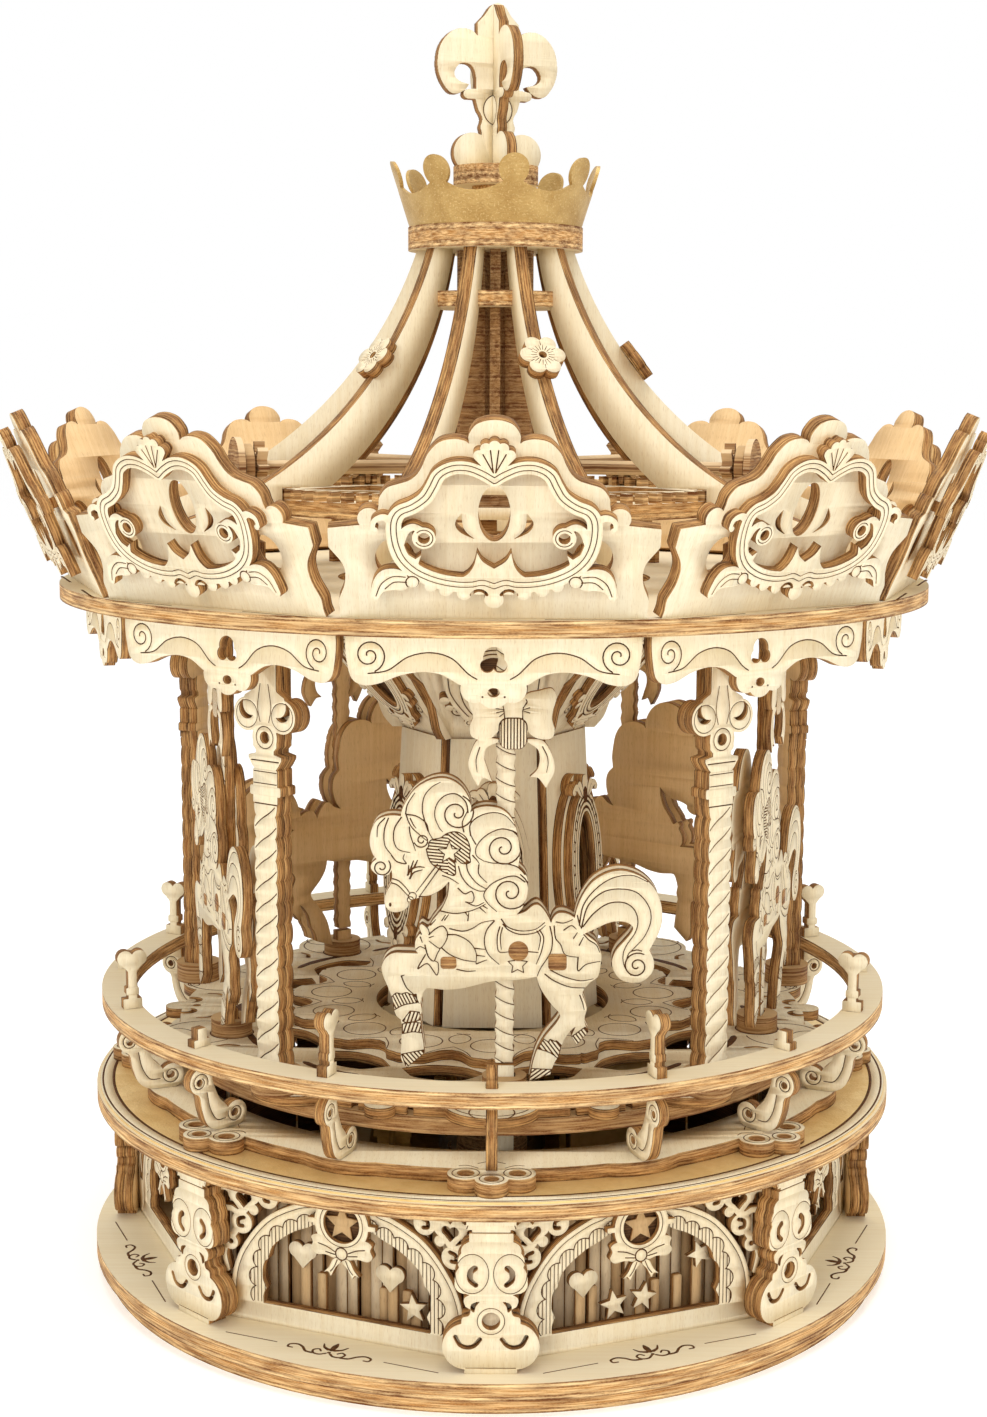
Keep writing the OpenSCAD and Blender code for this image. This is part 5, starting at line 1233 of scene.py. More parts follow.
build("mirror_frames", frame_mesh,
      stand(SIXTH, HEX_D + THIN + 0.01, Z_COLUMN, HEX_LEAN, shift=(0, FRAME_MID)), "base",
      ["mirror_frames"])
# Behind the hole lies a dark sheet in the painted-shade finish.
glass = plate(b, b.disc(0, 0, 5.6, 14), 0.02, 0.3)
build("mirror_backs", glass, stand(SIXTH, HEX_D + THIN, Z_COLUMN, HEX_LEAN, shift=(0, FRAME_MID)),
      "base", (), SHADE_PLY)

# %% [markdown]
# Above the panels the column flares into a cornice of six more panels, which lean out by 38
# degrees. Spirals and stems are burnt into their corners, and an S-shaped fin, edge-on as the
# strips are, closes every corner.

# %% Cornice
CORN_LEAN, CORN_LEN, CORN_IN = 38.3, 30.6, 15.8
corn_z = low("column_cornice")[2] + THIN*math.sin(math.radians(CORN_LEAN))
b = Board(-20, 20, -0.5, 31.2, 0.11, True)
panel = b.area([(0, 0), (9.09, 0), (19.1, CORN_LEN), (0, CORN_LEN)], False)
lines = join(b.spiral(9.8, 24.4, 2.4, -1.7, 200, 0.14, 0.3),
             b.stroke([(7.4, 24), (8.6, 20), (9.4, 15.6)], 0.13),
             b.spiral(7.4, 8.6, 1.9, 1.6, 150, 0.14, 0.3),
             b.stroke([(5.8, 9.6), (8.4, 12.6), (9.4, 15.6)], 0.13),
             b.spiral(13.6, 27.0, 1.7, 1.5, 200, 0.13, 0.3))
build("column_cornice", plate(b, panel, 0, THIN, lines), stand(SIXTH, CORN_IN, corn_z, CORN_LEAN),
      "base", ["column_cornice"])
corn_low, corn_high = low("column_cornice")[2], high("column_cornice")[2]
b = Board(17, 46, corn_low - 0.5, corn_high + 0.5, 0.12)
fin_shape = b.area([(17.6, corn_low), (17.6, corn_low), (22.2, corn_low), (22.2, corn_low),
                    (24.2, corn_low + 2.4), (25.6, corn_low + 6), (27.2, corn_low + 9.6),
                    (30.4, corn_low + 12.6), (34.4, corn_low + 15.2), (37.6, corn_low + 18.8),
                    (39.6, corn_low + 22.6), (42.6, corn_low + 25), (42.6, corn_high),
                    (42.6, corn_high), (33, corn_high), (33, corn_high), (24, corn_low + 14)])
fin_shape = both(fin_shape, b.rect(0, 42.6, corn_low, corn_high))
build("cornice_fins", plate(b, fin_shape, 0, THIN), edge_on(HEX_CORNERS, 0, THIN), "base",
      ["column_cornice"], TWO_SIDED)

# %% [markdown]
# On every cornice panel lies an ornament cut through a sheet of its own: an oval ring with
# curls at its foot, over a dark ground that shows through the oval as painted shade.

# %% Cornice ornaments
b = Board(-11.5, 11.5, 2.5, 31, 0.09, True)
ornament = join(b.area([(0, 4.6), (2.4, 4.4), (4.6, 5.6), (6.4, 8.2), (8.6, 12.2), (10.2, 17.4),
                        (10.4, 23), (8.6, 27.4), (5, 29.6), (0, 30)]), b.disc(2.2, 4.8, 1.3),
                b.disc(5.0, 6.6, 1.2), b.disc(0, 4.2, 1.2), b.disc(10.2, 13.4, 1.1),
                b.disc(9.2, 11.2, 0.9))
ornament = cut(ornament, b.disc(0, 17.6, 5.0, 8.6), b.disc(7.8, 21.4, 1.0, 2.0), b.disc(3.4, 7.2, 0.8))
lines = join(b.hoop(0.12, 0, 17.6, 5.9, 9.6), b.hoop(0.12, 0, 17.6, 6.9, 10.7),
             b.stroke([(9.4, 20), (8.9, 15.6), (7.0, 11.4), (5.2, 8.6)], 0.12),
             b.arc(2.2, 4.9, 0.7, -140, 60, 0.1), b.arc(5.0, 6.7, 0.6, -140, 60, 0.1))
# The dark ground is painted shade: the hollow behind the oval.
ground = plate(b, b.disc(0, 17.6, 5.6, 9.2), THIN, THIN + 0.2)
build("cornice_ornaments", plate(b, ornament, THIN, 4.0, lines),
      stand(SIXTH, CORN_IN, corn_z, CORN_LEAN), "base")
build("cornice_shade_grounds", ground, stand(SIXTH, CORN_IN, corn_z, CORN_LEAN), "base", (), SHADE_PLY)

# %% [markdown]
# The base is an octagon of arches between two discs and the top ring. An arch panel is one
# sheet: a scalloped curtain hangs in the opening, with its thin folds burnt as upright lines,
# and scrolls and a heart fill the corners above the arch. The corner is cut away first and
# the scrolls are joined back in, so they always touch the sheet.

# %% Arches
Z_BASE = high("base_disc_upper")[2]
WALL_H = low("top_ring")[2] - Z_BASE
EIGHTH, CORNERS = [22.5 + 45*k for k in range(8)], range(0, 360, 45)
ARCH_IN = 72.4
b = Board(-29, 29, -0.5, WALL_H + 0.5, 0.09, True)
rim = b.area([(0, 27.6), (7.9, 26.6), (11.5, 25.5), (15.9, 23.2), (18.9, 20.6), (21.6, 17.2),
              (23.8, 13.4), (25.1, 9), (25.3, 4), (25.3, -3), (0, -3)])
folds = [(19.0, 5.6), (19.3, 9.4), (18.4, 13.1), (17.1, 16.3), (14.6, 18.7), (11.6, 20.5), (8.5, 22.0),
         (5.2, 23.2), (1.7, 23.8)]
curtain = join(*[b.disc(x, y, 2.05) for x, y in folds],
               b.area([(0, 24.4)] + folds[::-1] + [(19, 4), (0, 4)], False))
opening = b.area([(0, 22.6), (5, 21.9), (7.8, 20.6), (10.6, 19.4), (13.3, 17.6), (15.4, 15.6),
                  (16.2, 13.2), (17.2, 12), (17.4, 9.4), (16.6, 7.4), (17.3, 5.6), (17.2, 3), (17.2, 3),
                  (0, 3), (0, 3)])
opening = both(opening - 0.9, -b.rect(-30, 30, -2, 4.1))
corner = both(b.rect(9, 27.7, 8, 30.6), -rim)
scroll = join(b.heart(22.4, 25.0, 3.3), b.disc(17.0, 26.2, 2.3), b.disc(22.9, 20.2, 2.3),
              b.disc(25.4, 15.8, 1.6), b.stroke([(19.2, 26.6), (20, 28.6), (19.4, 31)], 0.6),
              b.stroke([(15.6, 27.6), (13.6, 28.8), (11, 29.4)], 0.6, 0.45),
              b.stroke([(22.4, 22.8), (23.8, 22.2), (25.4, 22.8), (27.8, 22.6)], 0.6),
              b.stroke([(24.4, 18.2), (25.2, 17)], 0.7),
              b.stroke([(26.4, 15.2), (26.9, 13), (26.2, 10)], 0.5),
              b.stroke([(25.2, 26.2), (26.4, 27), (28, 26.8)], 0.6),
              b.stroke([(23.4, 27.8), (24.2, 29.4), (24, 31)], 0.6), b.disc(20.2, 23.2, 1.1),
              b.disc(26.9, 29.4, 1.2))
slits = [b.stroke(points, 0.42)
         for points in ([(16.4, 27.2), (17.6, 26.8), (17.7, 25.6), (16.8, 25.4)],
                        [(22.4, 21.3), (23.6, 20.8), (23.6, 19.6), (22.7, 19.5)])]
holes = join(b.heart(22.4, 25.0, 1.7), *slits, b.disc(25.4, 15.9, 0.55))
scroll = cut(scroll, holes)
arch = join(cut(b.rect(-28.8, 28.8, 0, WALL_H), opening, corner),
            both(scroll, b.rect(-28.8, 28.8, 0, WALL_H)))
strip = both(curtain, -opening)
lines = join(both(abs(curtain) - 0.11, b.rect(-30, 30, 4.1, 27)),
             both(strip, abs((b.true_x + 60) % 0.82 - 0.41) - 0.085, b.rect(-30, 30, 4.3, 27)),
             both(abs(rim + 1.0) - 0.08, b.rect(-30, 30, 1, 27)))
build("arch_panels", plate(b, arch, 0, THIN, lines), stand(EIGHTH, ARCH_IN, Z_BASE), "base",
      ["arch_panels"])

# %% [markdown]
# Behind each arch is a little stage with a back wall of slats and dark gaps; the dark of the
# gaps is painted shade, a dark wall behind the slats. Groups of pale slats alternate with brown
# ones that lie deeper. One remainder of the width gives the place in the group and another the
# gaps, so no slat is drawn by hand.

# %% Niches
NICHE_IN, SLAT_W, GROUP_W = 63.8, 2.6, 7.8
b = Board(-27, 27, -0.5, WALL_H + 0.5, 0.12)
in_group = (b.true_x + 61.2) % GROUP_W
gap = (b.true_x + 61.2) % SLAT_W - 0.3
pale = both(b.rect(-25, 25, 0, WALL_H), in_group - 5.0, -gap)
brown = both(b.rect(-25, 25, 0, WALL_H), 5.4 - in_group, -gap)
# The wall behind the slats is a dark sheet: painted shade in the gaps.
build("niche_walls", plate(b, b.rect(-26, 26, 0, WALL_H), 0, 0.5), stand(EIGHTH, NICHE_IN, Z_BASE),
      "base", ["niche_walls"], SHADE_PLY)
build("niche_slats", plate(b, pale, 0.5, THIN), stand(EIGHTH, NICHE_IN, Z_BASE), "base",
      ["niche_walls"], [slat, edge_thin, burn, back])
build("niche_brown_slats", plate(b, brown, 0.5, 1.4), stand(EIGHTH, NICHE_IN, Z_BASE), "base",
      ["niche_walls"], TAN)

# %% [markdown]
# Stars and hearts stand on little brown sticks in front of the slats. There are two scenes,
# which alternate round the base; a list says what stands where and how it is turned.

# %% Stars on sticks
b = Board(-20, 20, -0.5, 26, 0.1)
stems = ((-7.4, 10.4), (6.2, 9.6), (11.2, 9.8))
scenes = ([("star", -3.8, 6.8, 3.1, 8), ("star", 2.6, 7.4, 3.0, -12), ("heart", -10.5, 12.2, 2.9, 0),
           ("star", 15.0, 14.4, 2.9, 20)],
          [("heart", -10.5, 14.6, 2.9, 0), ("heart", 8.6, 12.8, 2.9, 0), ("star", 13.6, 7.4, 3.0, 8)])
for number, spots in enumerate(scenes, 1):
    stars = join(*[b.star(x, y, r, 0.42, turn=90 + turn) if kind == "star" else b.heart(x, y, r)
                   for kind, x, y, r, turn in spots])
    sticks = join(*[b.rect(x - 1.0, x + 1.0, 0, y - 1.2, 0.5) for kind, x, y, r, turn in spots])
    posts = join(*[b.rect(x - 0.9, x + 0.9, 0, y, 0.4) for x, y in stems])
    places = stand(EIGHTH[number - 1::2], 69.0, Z_BASE)
    build(f"niche_stars_{number}", plate(b, stars, 2.1, 3.3), places, "base")
    build(f"niche_sticks_{number}", pack(plate(b, posts, 0, 1.2), plate(b, sticks, 1.2, 2.1)), places,
          "base", (), TAN)

# %% [markdown]
# A medallion crowns the arch: a pale ring round a dark ground with a brown star, and a
# ribbon bow under it. The dark ground is painted shade, for the dark hole inside the ring.
# Three thin layers give it a real shadow.

# %% Medallions
MEDAL_MID, MEDAL_IN = 23.9, 74.6
b = Board(-8, 8, 11, 30.4, 0.06, True)
medal_ring = b.hoop(0.95, 0, MEDAL_MID, 4.85)
bow_knot = b.disc(0, 17.9, 1.25)
wing = b.area([(0.5, 17.9), (0.9, 19.2), (2.6, 19.8), (5, 21.2), (6.5, 20.6), (6.2, 19.4), (6.7, 18.1),
               (5.6, 17.1), (3.4, 17.3), (1.6, 16.9)])
ribbon = b.area([(0.6, 17), (1.8, 16.6), (2.7, 14.9), (3.9, 13.6), (3.9, 13.6), (2.9, 13.9), (2.3, 13),
                 (2.3, 13), (1.3, 15), (0.2, 16.2)])
medal = join(medal_ring, bow_knot, wing, ribbon, b.rect(5.4, 7.3, MEDAL_MID - 0.5, MEDAL_MID + 0.5))
lines = join(b.hoop(0.08, 0, MEDAL_MID, 4.6), abs(bow_knot) - 0.14,
             b.stroke([(1.5, 18.2), (3.2, 19), (5, 19.4)], 0.12),
             b.stroke([(1.5, 17.6), (3.4, 17.9)], 0.12),
             b.stroke([(0.9, 16.6), (1.6, 15), (2.4, 14)], 0.1))
build("medallions", plate(b, medal, 0, 1.6, lines, 0.18), stand(EIGHTH, MEDAL_IN, Z_BASE), "base",
      ["medallions"])
# A dark disc of painted shade fills the ring.
ground = plate(b, b.disc(0, MEDAL_MID, 4.3), 0, 0.5)
build("medallion_shade_grounds", ground, stand(EIGHTH, MEDAL_IN, Z_BASE), "base", ["medallions"], SHADE_PLY)
build("medallion_stars", plate(b, b.star(0, MEDAL_MID, 3.7, 0.45), 0.5, 1.2),
      stand(EIGHTH, MEDAL_IN, Z_BASE), "base", ["medallions"], TAN)

# %% [markdown]
# Pillars hide the corners of the octagon. Each has a stepped cap, a pair of curls, a waist
# with an eye and big round lobes at the foot, and is laminated from two plates. Only the
# outer one is pierced, so the holes show wood at their floor.

# %% Pillars
PILLAR_IN = 80.2
b = Board(-9.6, 9.6, Z_BASE - 0.5, Z_BASE + WALL_H + 0.5, 0.075, True)
foot = join(b.disc(4.6, 12.5, 4.6), b.rect(-5, 5, 7, 9.6, 0.2), b.disc(0, 10.6, 4))
waist = join(b.disc(0, 17.5, 4.0),
             b.area([(0, 15.8), (4.4, 16), (5.5, 16.8), (5.4, 18.2), (4.2, 18.6), (3.9, 19.8),
                     (4.9, 20.6), (4.7, 22.4), (0, 23.4)]))
curls = join(b.disc(3.6, 26.0, 3.25), b.disc(3.9, 29.3, 2.4), b.rect(-2.4, 2.4, 22, 34),
             b.disc(5.0, 24.9, 1.9))
cap = join(b.rect(-3.6, 3.6, 31, 38.4), b.rect(-4.15, 4.15, 33.2, 34.9, 0.2),
           b.rect(-4.7, 4.7, 35.6, 38.4, 0.2),
           b.area([(3.4, 33.3), (5.2, 32.6), (5.6, 31), (4, 30), (2, 32)]))
outline = join(foot, waist, curls, cap)
smile = b.stroke([(6.7, 14.4), (5.8, 12.8), (4.4, 12.3), (3.1, 12.7), (2.1, 13.9)], 0.45, 0.45)
hook = b.area([(2.2, 21.4), (3.6, 21.0), (3.9, 19.9), (3.2, 19.3), (2.9, 20.4)])
comma = b.stroke([(3.1, 28.0), (3.9, 27.2), (3.9, 25.7), (2.9, 24.7)], 0.62, 0.5)
pierce = join(b.disc(0, 17.5, 1.75), smile, hook, comma)
lines = join(b.hoop(0.08, 0, 17.5, 2.6), b.hoop(0.07, 3.6, 26.9, 3.15, 3.9),
             b.rect(-4.15, 4.15, 34.9, 35.1), b.stroke([(4.9, 34.9), (4.4, 36.4)], 0.1),
             b.rect(-4.8, 4.8, 8.1, 8.25))
pillar = pack(plate(b, cut(outline, pierce), THIN, 4.2, lines), plate(b, outline, 0, THIN))
build("pillars", pillar, stand(CORNERS, PILLAR_IN, 0), "base", ["pillars"])

# %% [markdown]
# The rings and the deck are big sheets with a small motif repeated round them. To draw every
# copy on the big board would be slow and coarse. Instead the motif is drawn once on a small,
# fine board near the front edge, and its field is read at the turned place of every copy.
# Burnt lines on such a big face are thin dark strips let into it, which spares cutting the
# whole skin.

# %% Copies round a big board
def round_copies(big, small, field, count, first=0.0):
    """A small drawing near the front edge, repeated round a big board."""
    out = np.full(big.x.shape, FAR)
    rows, cols = field.shape
    for k in range(count):
        a = math.radians(first + 360*k/count)
        u = (big.true_x*math.cos(a) + big.y*math.sin(a) - small.x0)/small.step
        v = (big.y*math.cos(a) - big.true_x*math.sin(a) - small.y0)/small.step
        near = (u > 0) & (u < cols - 2) & (v > 0) & (v < rows - 2)
        i, j = u[near].astype(int), v[near].astype(int)
        p, q = u[near] - i, v[near] - j
        value = ((field[j, i]*(1 - p) + field[j, i + 1]*p)*(1 - q)
                 + (field[j + 1, i]*(1 - p) + field[j + 1, i + 1]*p)*q)
        out[near] = np.minimum(out[near], value)
    return out


def marks(board, lines, w, sink=0.2):
    """Burnt lines on a large flat face: thin strips let into it."""
    mesh = Mesh()
    prism(mesh, trace(board, lines), w - sink, w + 0.03, BURN, BURN)
    return mesh


print("round copies ready")

# %% [markdown]
# On the top ring lies a wavy plate with a clover over every pillar. Clovers and bulges are
# both round copies joined to a disc, and the eyes of the clovers are cut out again.

# %% Wavy plate
WAVY_LOW, WAVY_T = low("wavy_ring")[2], high("wavy_ring")[2] - low("wavy_ring")[2]
big = Board(-91, 91, -91, 91, 0.2)
small = Board(-12, 12, -87, -64, 0.08, True)
clover = join(small.disc(4.9, -79.2, 3.5), small.disc(0, -82.2, 3.2), small.disc(0, -76.5, 6.5))
holes = join(small.disc(4.9, -79.2, 1.7), small.disc(0, -82.2, 1.5))
bulge = Board(-20, 20, -80, -50, 0.1)
wavy = join(big.disc(0, 0, 77), round_copies(big, small, clover, 8),
            round_copies(big, bulge, bulge.disc(0, -61, 17.4), 8, 22.5))
wavy = cut(wavy, big.disc(0, 0, 67), round_copies(big, small, holes, 8))
build("wavy_plate", plate(big, wavy, 0, WAVY_T), lay(WAVY_LOW), "base", ["wavy_ring"],
      [face, edge_thick, burn, back])
clover_lines = join(small.hoop(0.1, 4.9, -79.2, 2.6), small.hoop(0.1, 0, -82.2, 2.3),
                    small.stroke([(2.6, -74.2), (0, -72.6)], 0.1),
                    small.stroke([(2.6, -76.6), (4.6, -75.2), (6.2, -75.4)], 0.1))
build("clover_lines", marks(small, clover_lines, 0), lay(WAVY_LOW + WAVY_T, CORNERS), "base")

# %% [markdown]
# The golden inlay is bordered by two burnt hoops and a pale rim, which lie on the solid ring
# of the frame.

# %% Ring lines
rings = Board(-87, 87, -87, 87, 0.2)
inlay_edge = high("inlay_ring")[0]
hoops = join(rings.hoop(0.2, 0, 0, inlay_edge - 0.7), rings.hoop(0.3, 0, 0, inlay_edge - 3.0))
rim = cut(rings.disc(0, 0, inlay_edge - 0.1), rings.disc(0, 0, inlay_edge - 2.9))
rim_band = Mesh()
prism(rim_band, trace(rings, rim), -0.1, 0.04, FACE, FACE)
build("ring_lines", pack(marks(rings, hoops, 0.02), rim_band), lay(high("inlay_ring")[2]), "base")

# %% [markdown]
# The railing posts stand edge-on in the wavy plate and carry the rail on a tab. A post is an
# S-shaped scroll with a round eye at both ends. Over the pillars it ends in a stepped cap and
# between them in a heart, so two tops share one foot. Both sides show, so both get lines.

# %% Railing posts
RAIL_H, RAIL_T, POST_X = 14.8, 3.2, 81.85
base_y = RAIL_H + RAIL_T
b = Board(70, 86.5, -0.5, base_y + 14.5, 0.07)
body = b.area([(76.0, 4.6), (75.4, 2.6), (76.4, 0.4), (78.8, 0.3), (81, 1.9), (82.2, 5), (82.8, 8),
               (84.6, 9.6), (84.9, 11.6), (83.4, 13.4), (83, RAIL_H), (83, RAIL_H), (79.9, RAIL_H),
               (79.9, RAIL_H), (79.8, 12.4), (79.2, 9.6), (77.8, 6.6)])
post = cut(join(body, b.disc(73.7, 2.65, 2.6), b.rect(73.6, 77, 0.1, 2.2), b.disc(82.3, 11, 2.75)),
           b.disc(74.0, 2.9, 0.8), b.disc(82.7, 10.8, 0.75))
tab = b.rect(80.65, 83.05, RAIL_H - 1, base_y)
lines = join(b.spiral(73.9, 2.8, 1.9, -1.2, 20, 0.1, 0.9),
             b.spiral(82.6, 10.8, 2.0, -1.2, 200, 0.1, 0.9),
             b.stroke([(76.4, 2.2), (78.6, 2.4), (80.2, 5), (80.9, 8.4)], 0.1))
stepped = join(tab, b.rect(79.85, 83.85, base_y, base_y + 1.6, 0.15),
               b.rect(80.75, 82.95, base_y, base_y + 3.8, 0.2))
hearted = join(tab, b.rect(79.85, 83.85, base_y, base_y + 2.2, 0.15),
               b.rect(80.95, 82.75, base_y, base_y + 9.4),
               b.rect(80.5, 83.2, base_y + 3, base_y + 4.6, 0.3), b.heart(POST_X, base_y + 10.0, 2.95))
for name, top, feet in (("posts_with_caps", stepped, CORNERS), ("posts_with_hearts", hearted, EIGHTH)):
    build(name, plate(b, join(post, top), 0, THIN, lines, both_faces=True),
          edge_on(feet, WAVY_LOW + WAVY_T, THIN), "base", ["balusters"], TWO_SIDED)

# %% [markdown]
# The deck is two sheets. The engraved plate on top ends in fifteen lobes. One lobe is drawn
# and copied round, and so are its burnt lines: an eye, a stem to each side and an arc that
# meets its neighbour's.

# %% Deck plate
DECK_IN, DECK_LOBES = 26.0, range(0, 360, 24)
PLATE_LOW, LATTICE_LOW = low("deck_plate")[2], low("deck_lattice")[2]
big = Board(-77, 77, -77, 77, 0.17)
hub = big.disc(0, 0, DECK_IN)
tip = Board(-9, 9, -46, -36, 0.12, True)
point = tip.area([(0, -44.9), (2.6, -44.9), (4.3, -44.1), (5.4, -42.2), (6.6, -40.3), (8.6, -38.9),
                  (8.6, -36), (0, -36)])
top_sheet = cut(join(big.disc(0, 0, 38.9), round_copies(big, tip, point, 15)), hub)
build("deck_plate", plate(big, top_sheet, 0, THIN), lay(PLATE_LOW), "carousel", ["deck_plate"])
leaf = Board(-9.5, 9.5, -45, -26, 0.09, True)
drawing = join(leaf.hoop(0.12, 0, -36.6, 4.5),
               leaf.stroke([(4.4, -43.8), (5.6, -40.6), (7.9, -37.4)], 0.1),
               leaf.arc(8.05, -31.6, 3.6, 100, 260, 0.11))
drawing = both(drawing, leaf.rect(-8.6, 8.6, -44.2, -27.4))
build("deck_drawing", marks(leaf, drawing, 0), lay(PLATE_LOW + THIN, DECK_LOBES), "carousel")

# %% [markdown]
# The openwork sheet below shows curved openings between the lobes, and ends in ten round
# petals. Columns stand on five of them, and the poles slide through slots in the other five.
# Bays with crescents lie between the petals. All of them are round copies, joined and cut in
# one field.

# %% Deck openwork
motif = Board(-16, 16, -76, -55, 0.09, True)
petal = motif.disc(0, -66, 9.4)
bay = Board(-13, 13, -76, -54, 0.09, True)
bay_holes = join(cut(bay.disc(4.4, -68.0, 2.3), bay.disc(3.6, -68.6, 1.5)),
                 bay.stroke([(7.4, -61.0), (9.2, -62.6), (9.6, -65.0)], 0.6, 0.35),
                 bay.disc(0, -66.4, 0.9))
opening = Board(-11, 11, -54.5, -42, 0.1, True)
deep_hole = opening.area([(0, -43.8), (0, -43.8), (4.2, -44.5), (8.6, -47.4), (8.6, -47.8),
                          (6.8, -50.6), (5.4, -52.4), (2.8, -53.3), (0, -53.6), (0, -53.6)])
slots = Board(-6, 8, -64, -55, 0.15)
lattice = join(big.disc(0, 0, 69.4), round_copies(big, motif, petal, 10),
               round_copies(big, bay, bay.disc(0, -70.4, 3), 10, 18))
lattice = cut(lattice, hub, round_copies(big, slots, slots.rect(0.2, 4.6, -61.1, -58.3), 5),
              round_copies(big, bay, bay_holes, 10, 18), round_copies(big, opening, deep_hole, 15, 12))
build("deck_lattice", plate(big, lattice, 0, THIN), lay(LATTICE_LOW), "carousel", ["deck_lattice"])

# %% [markdown]
# Burnt lines follow the openwork: a ring with two pairs of curls on the petals of the columns,
# two rings on those of the riders, a ring round every pole, and outside every opening a dark
# sliver of painted shade, which stands for a thin hole.

# %% Lines on the deck
petal_lines = join(motif.hoop(0.13, 0, -66, 8.2), motif.spiral(5.2, -71.0, 2.3, 1.4, 120, 0.13, 0.4),
                   motif.spiral(4.4, -61.0, 2.0, -1.3, 60, 0.13, 0.4))
petal_lines = both(petal_lines, motif.rect(-20, 20, -75.6, -58.6))
pole_ring = Board(-6, 8, -66, -54, 0.09)
foot_lines = join(motif.hoop(0.14, 0, -72.0, 4.4), motif.hoop(0.13, 0, -66, 8.2))
foot_lines = both(foot_lines, motif.rect(-20, 20, -75.2, -58.6))
DECK_TOP = LATTICE_LOW + THIN
sliver = Board(-9, 9, -61, -54, 0.1, True)
thin_hole_shade = sliver.area([(0, -56.1), (3.6, -56.0), (6.6, -55.4), (7.6, -55.9), (6.2, -57.0),
                         (3.2, -57.7), (0, -57.9)])
build("petal_lines", marks(motif, petal_lines, 0), lay(DECK_TOP, range(36, 396, 72)), "carousel")
build("foot_rings", marks(motif, foot_lines, 0), lay(DECK_TOP, FIFTH), "carousel")
build("pole_rings", marks(pole_ring, pole_ring.hoop(0.15, 2.4, -59.7, 4.6), 0), lay(DECK_TOP, FIFTH),
      "carousel")
# The slivers are painted shade in the burnt-line finish: thin holes drawn as dark marks.
build("deck_shade_slivers", marks(sliver, thin_hole_shade, 0), lay(DECK_TOP, range(12, 372, 24)), "carousel")

# %% [markdown]
# A motif of four scrolls and a small lotus is burnt into the base in front of each arch, with
# a straight line to both sides. Short lines run on the roof disc along the foot of each
# board.

# %% Lines on the base and the roof disc
b = Board(-24, 24, -88, -75, 0.07, True)
motif_lines = join(b.stroke([(0.5, -82.3), (1.5, -83.1), (2.9, -82.9), (3.4, -81.7), (2.5, -81.0),
                             (1.8, -81.7)], 0.26, 0.2),
                   b.stroke([(3.0, -83.0), (4.6, -82.8), (5.9, -81.4), (7.3, -80.7), (8.7, -81.2),
                             (8.7, -82.3), (7.7, -82.4)], 0.3, 0.2),
                   b.stroke([(0, -80.6), (0.3, -79), (0, -77.6)], 0.5, 0.12),
                   b.stroke([(0.7, -80.6), (1.9, -79.9), (2.6, -78.6)], 0.42, 0.12),
                   b.disc(0, -81.8, 0.4), b.rect(11.5, 23, -81.55, -81.3))
build("base_scrolls", marks(b, motif_lines, 0), lay(Z_BASE, EIGHTH), "base")
b = Board(-28, 28, -93.5, -84, 0.12, True)
build("roof_slots", marks(b, b.rect(9, 24.5, -90.5, -90.0), 0), lay(Z_ROOF_TOP, TENTH), "carousel")

# %% [markdown]
# Some solids of the frame have the right shape already: the discs and rings, the gears, the
# brackets. They keep their shape and get wood that finds its own way. Where a face looks up
# or down it is a pale sheet; where it looks sideways it is a scorched edge, whose streaks run
# round the axis and whose plies are counted from the solid's lowest point.

# %% Wood for the solids of the frame
EDGE_RADIUS, SHEET, THICKEST = 80, 3.2, 5.0  # millimetres


def solid_wood(name, z0, thick, pale=CREAM, deep=HONEY, light=EDGE_LIGHT, brown=EDGE_BROWN):
    f = Finish(name, solid=True)
    streak, drift = f.streaks_and_drift()
    sheet = f.mix(streak*0.4 + drift*0.4, pale, deep)
    where = f.node("ShaderNodeTexCoord", output="Object")
    x, y, z = [f.node("ShaderNodeSeparateXYZ", None, {0: where}, i)*METRE for i in range(3)]
    round_axis = f.node("ShaderNodeMath", {"operation": "ARCTAN2"}, {0: y, 1: x})*EDGE_RADIUS
    normal = f.node("ShaderNodeTexCoord", output="Normal")
    upward = f.node("ShaderNodeSeparateXYZ", None, {0: normal}, 2).absolute().between(0.45, 0.6)

    def streaks(along, across, detail, low_, high_):
        at = f.node("ShaderNodeCombineXYZ", None, {0: round_axis*(1/along), 1: z*(1/across)})
        noise = f.node("ShaderNodeTexNoise", {"noise_dimensions": "2D"},
                       {"Vector": at, "Scale": 1.0, "Detail": detail, "Roughness": 0.65})
        return noise.between(low_, high_)

    across = (z - z0)*(1/thick) + streaks(5, 0.9, 2.0, 0.0, 1.0)*0.16 - 0.08
    edge = scorched(f, across, streaks(9, 0.28, 4.0, 0.4, 0.62), streaks(0.5, 0.22, 2.0, 0.4, 0.6),
                    streaks(12, 1.6, 3.0, 0.42, 0.68), light, brown, EDGE_CHAR)
    f.set(Base_Color=f.mix(upward, edge, sheet))
    return f.material


def finish_node(node, material):
    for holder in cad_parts[node].material_slots:
        holder.material = material


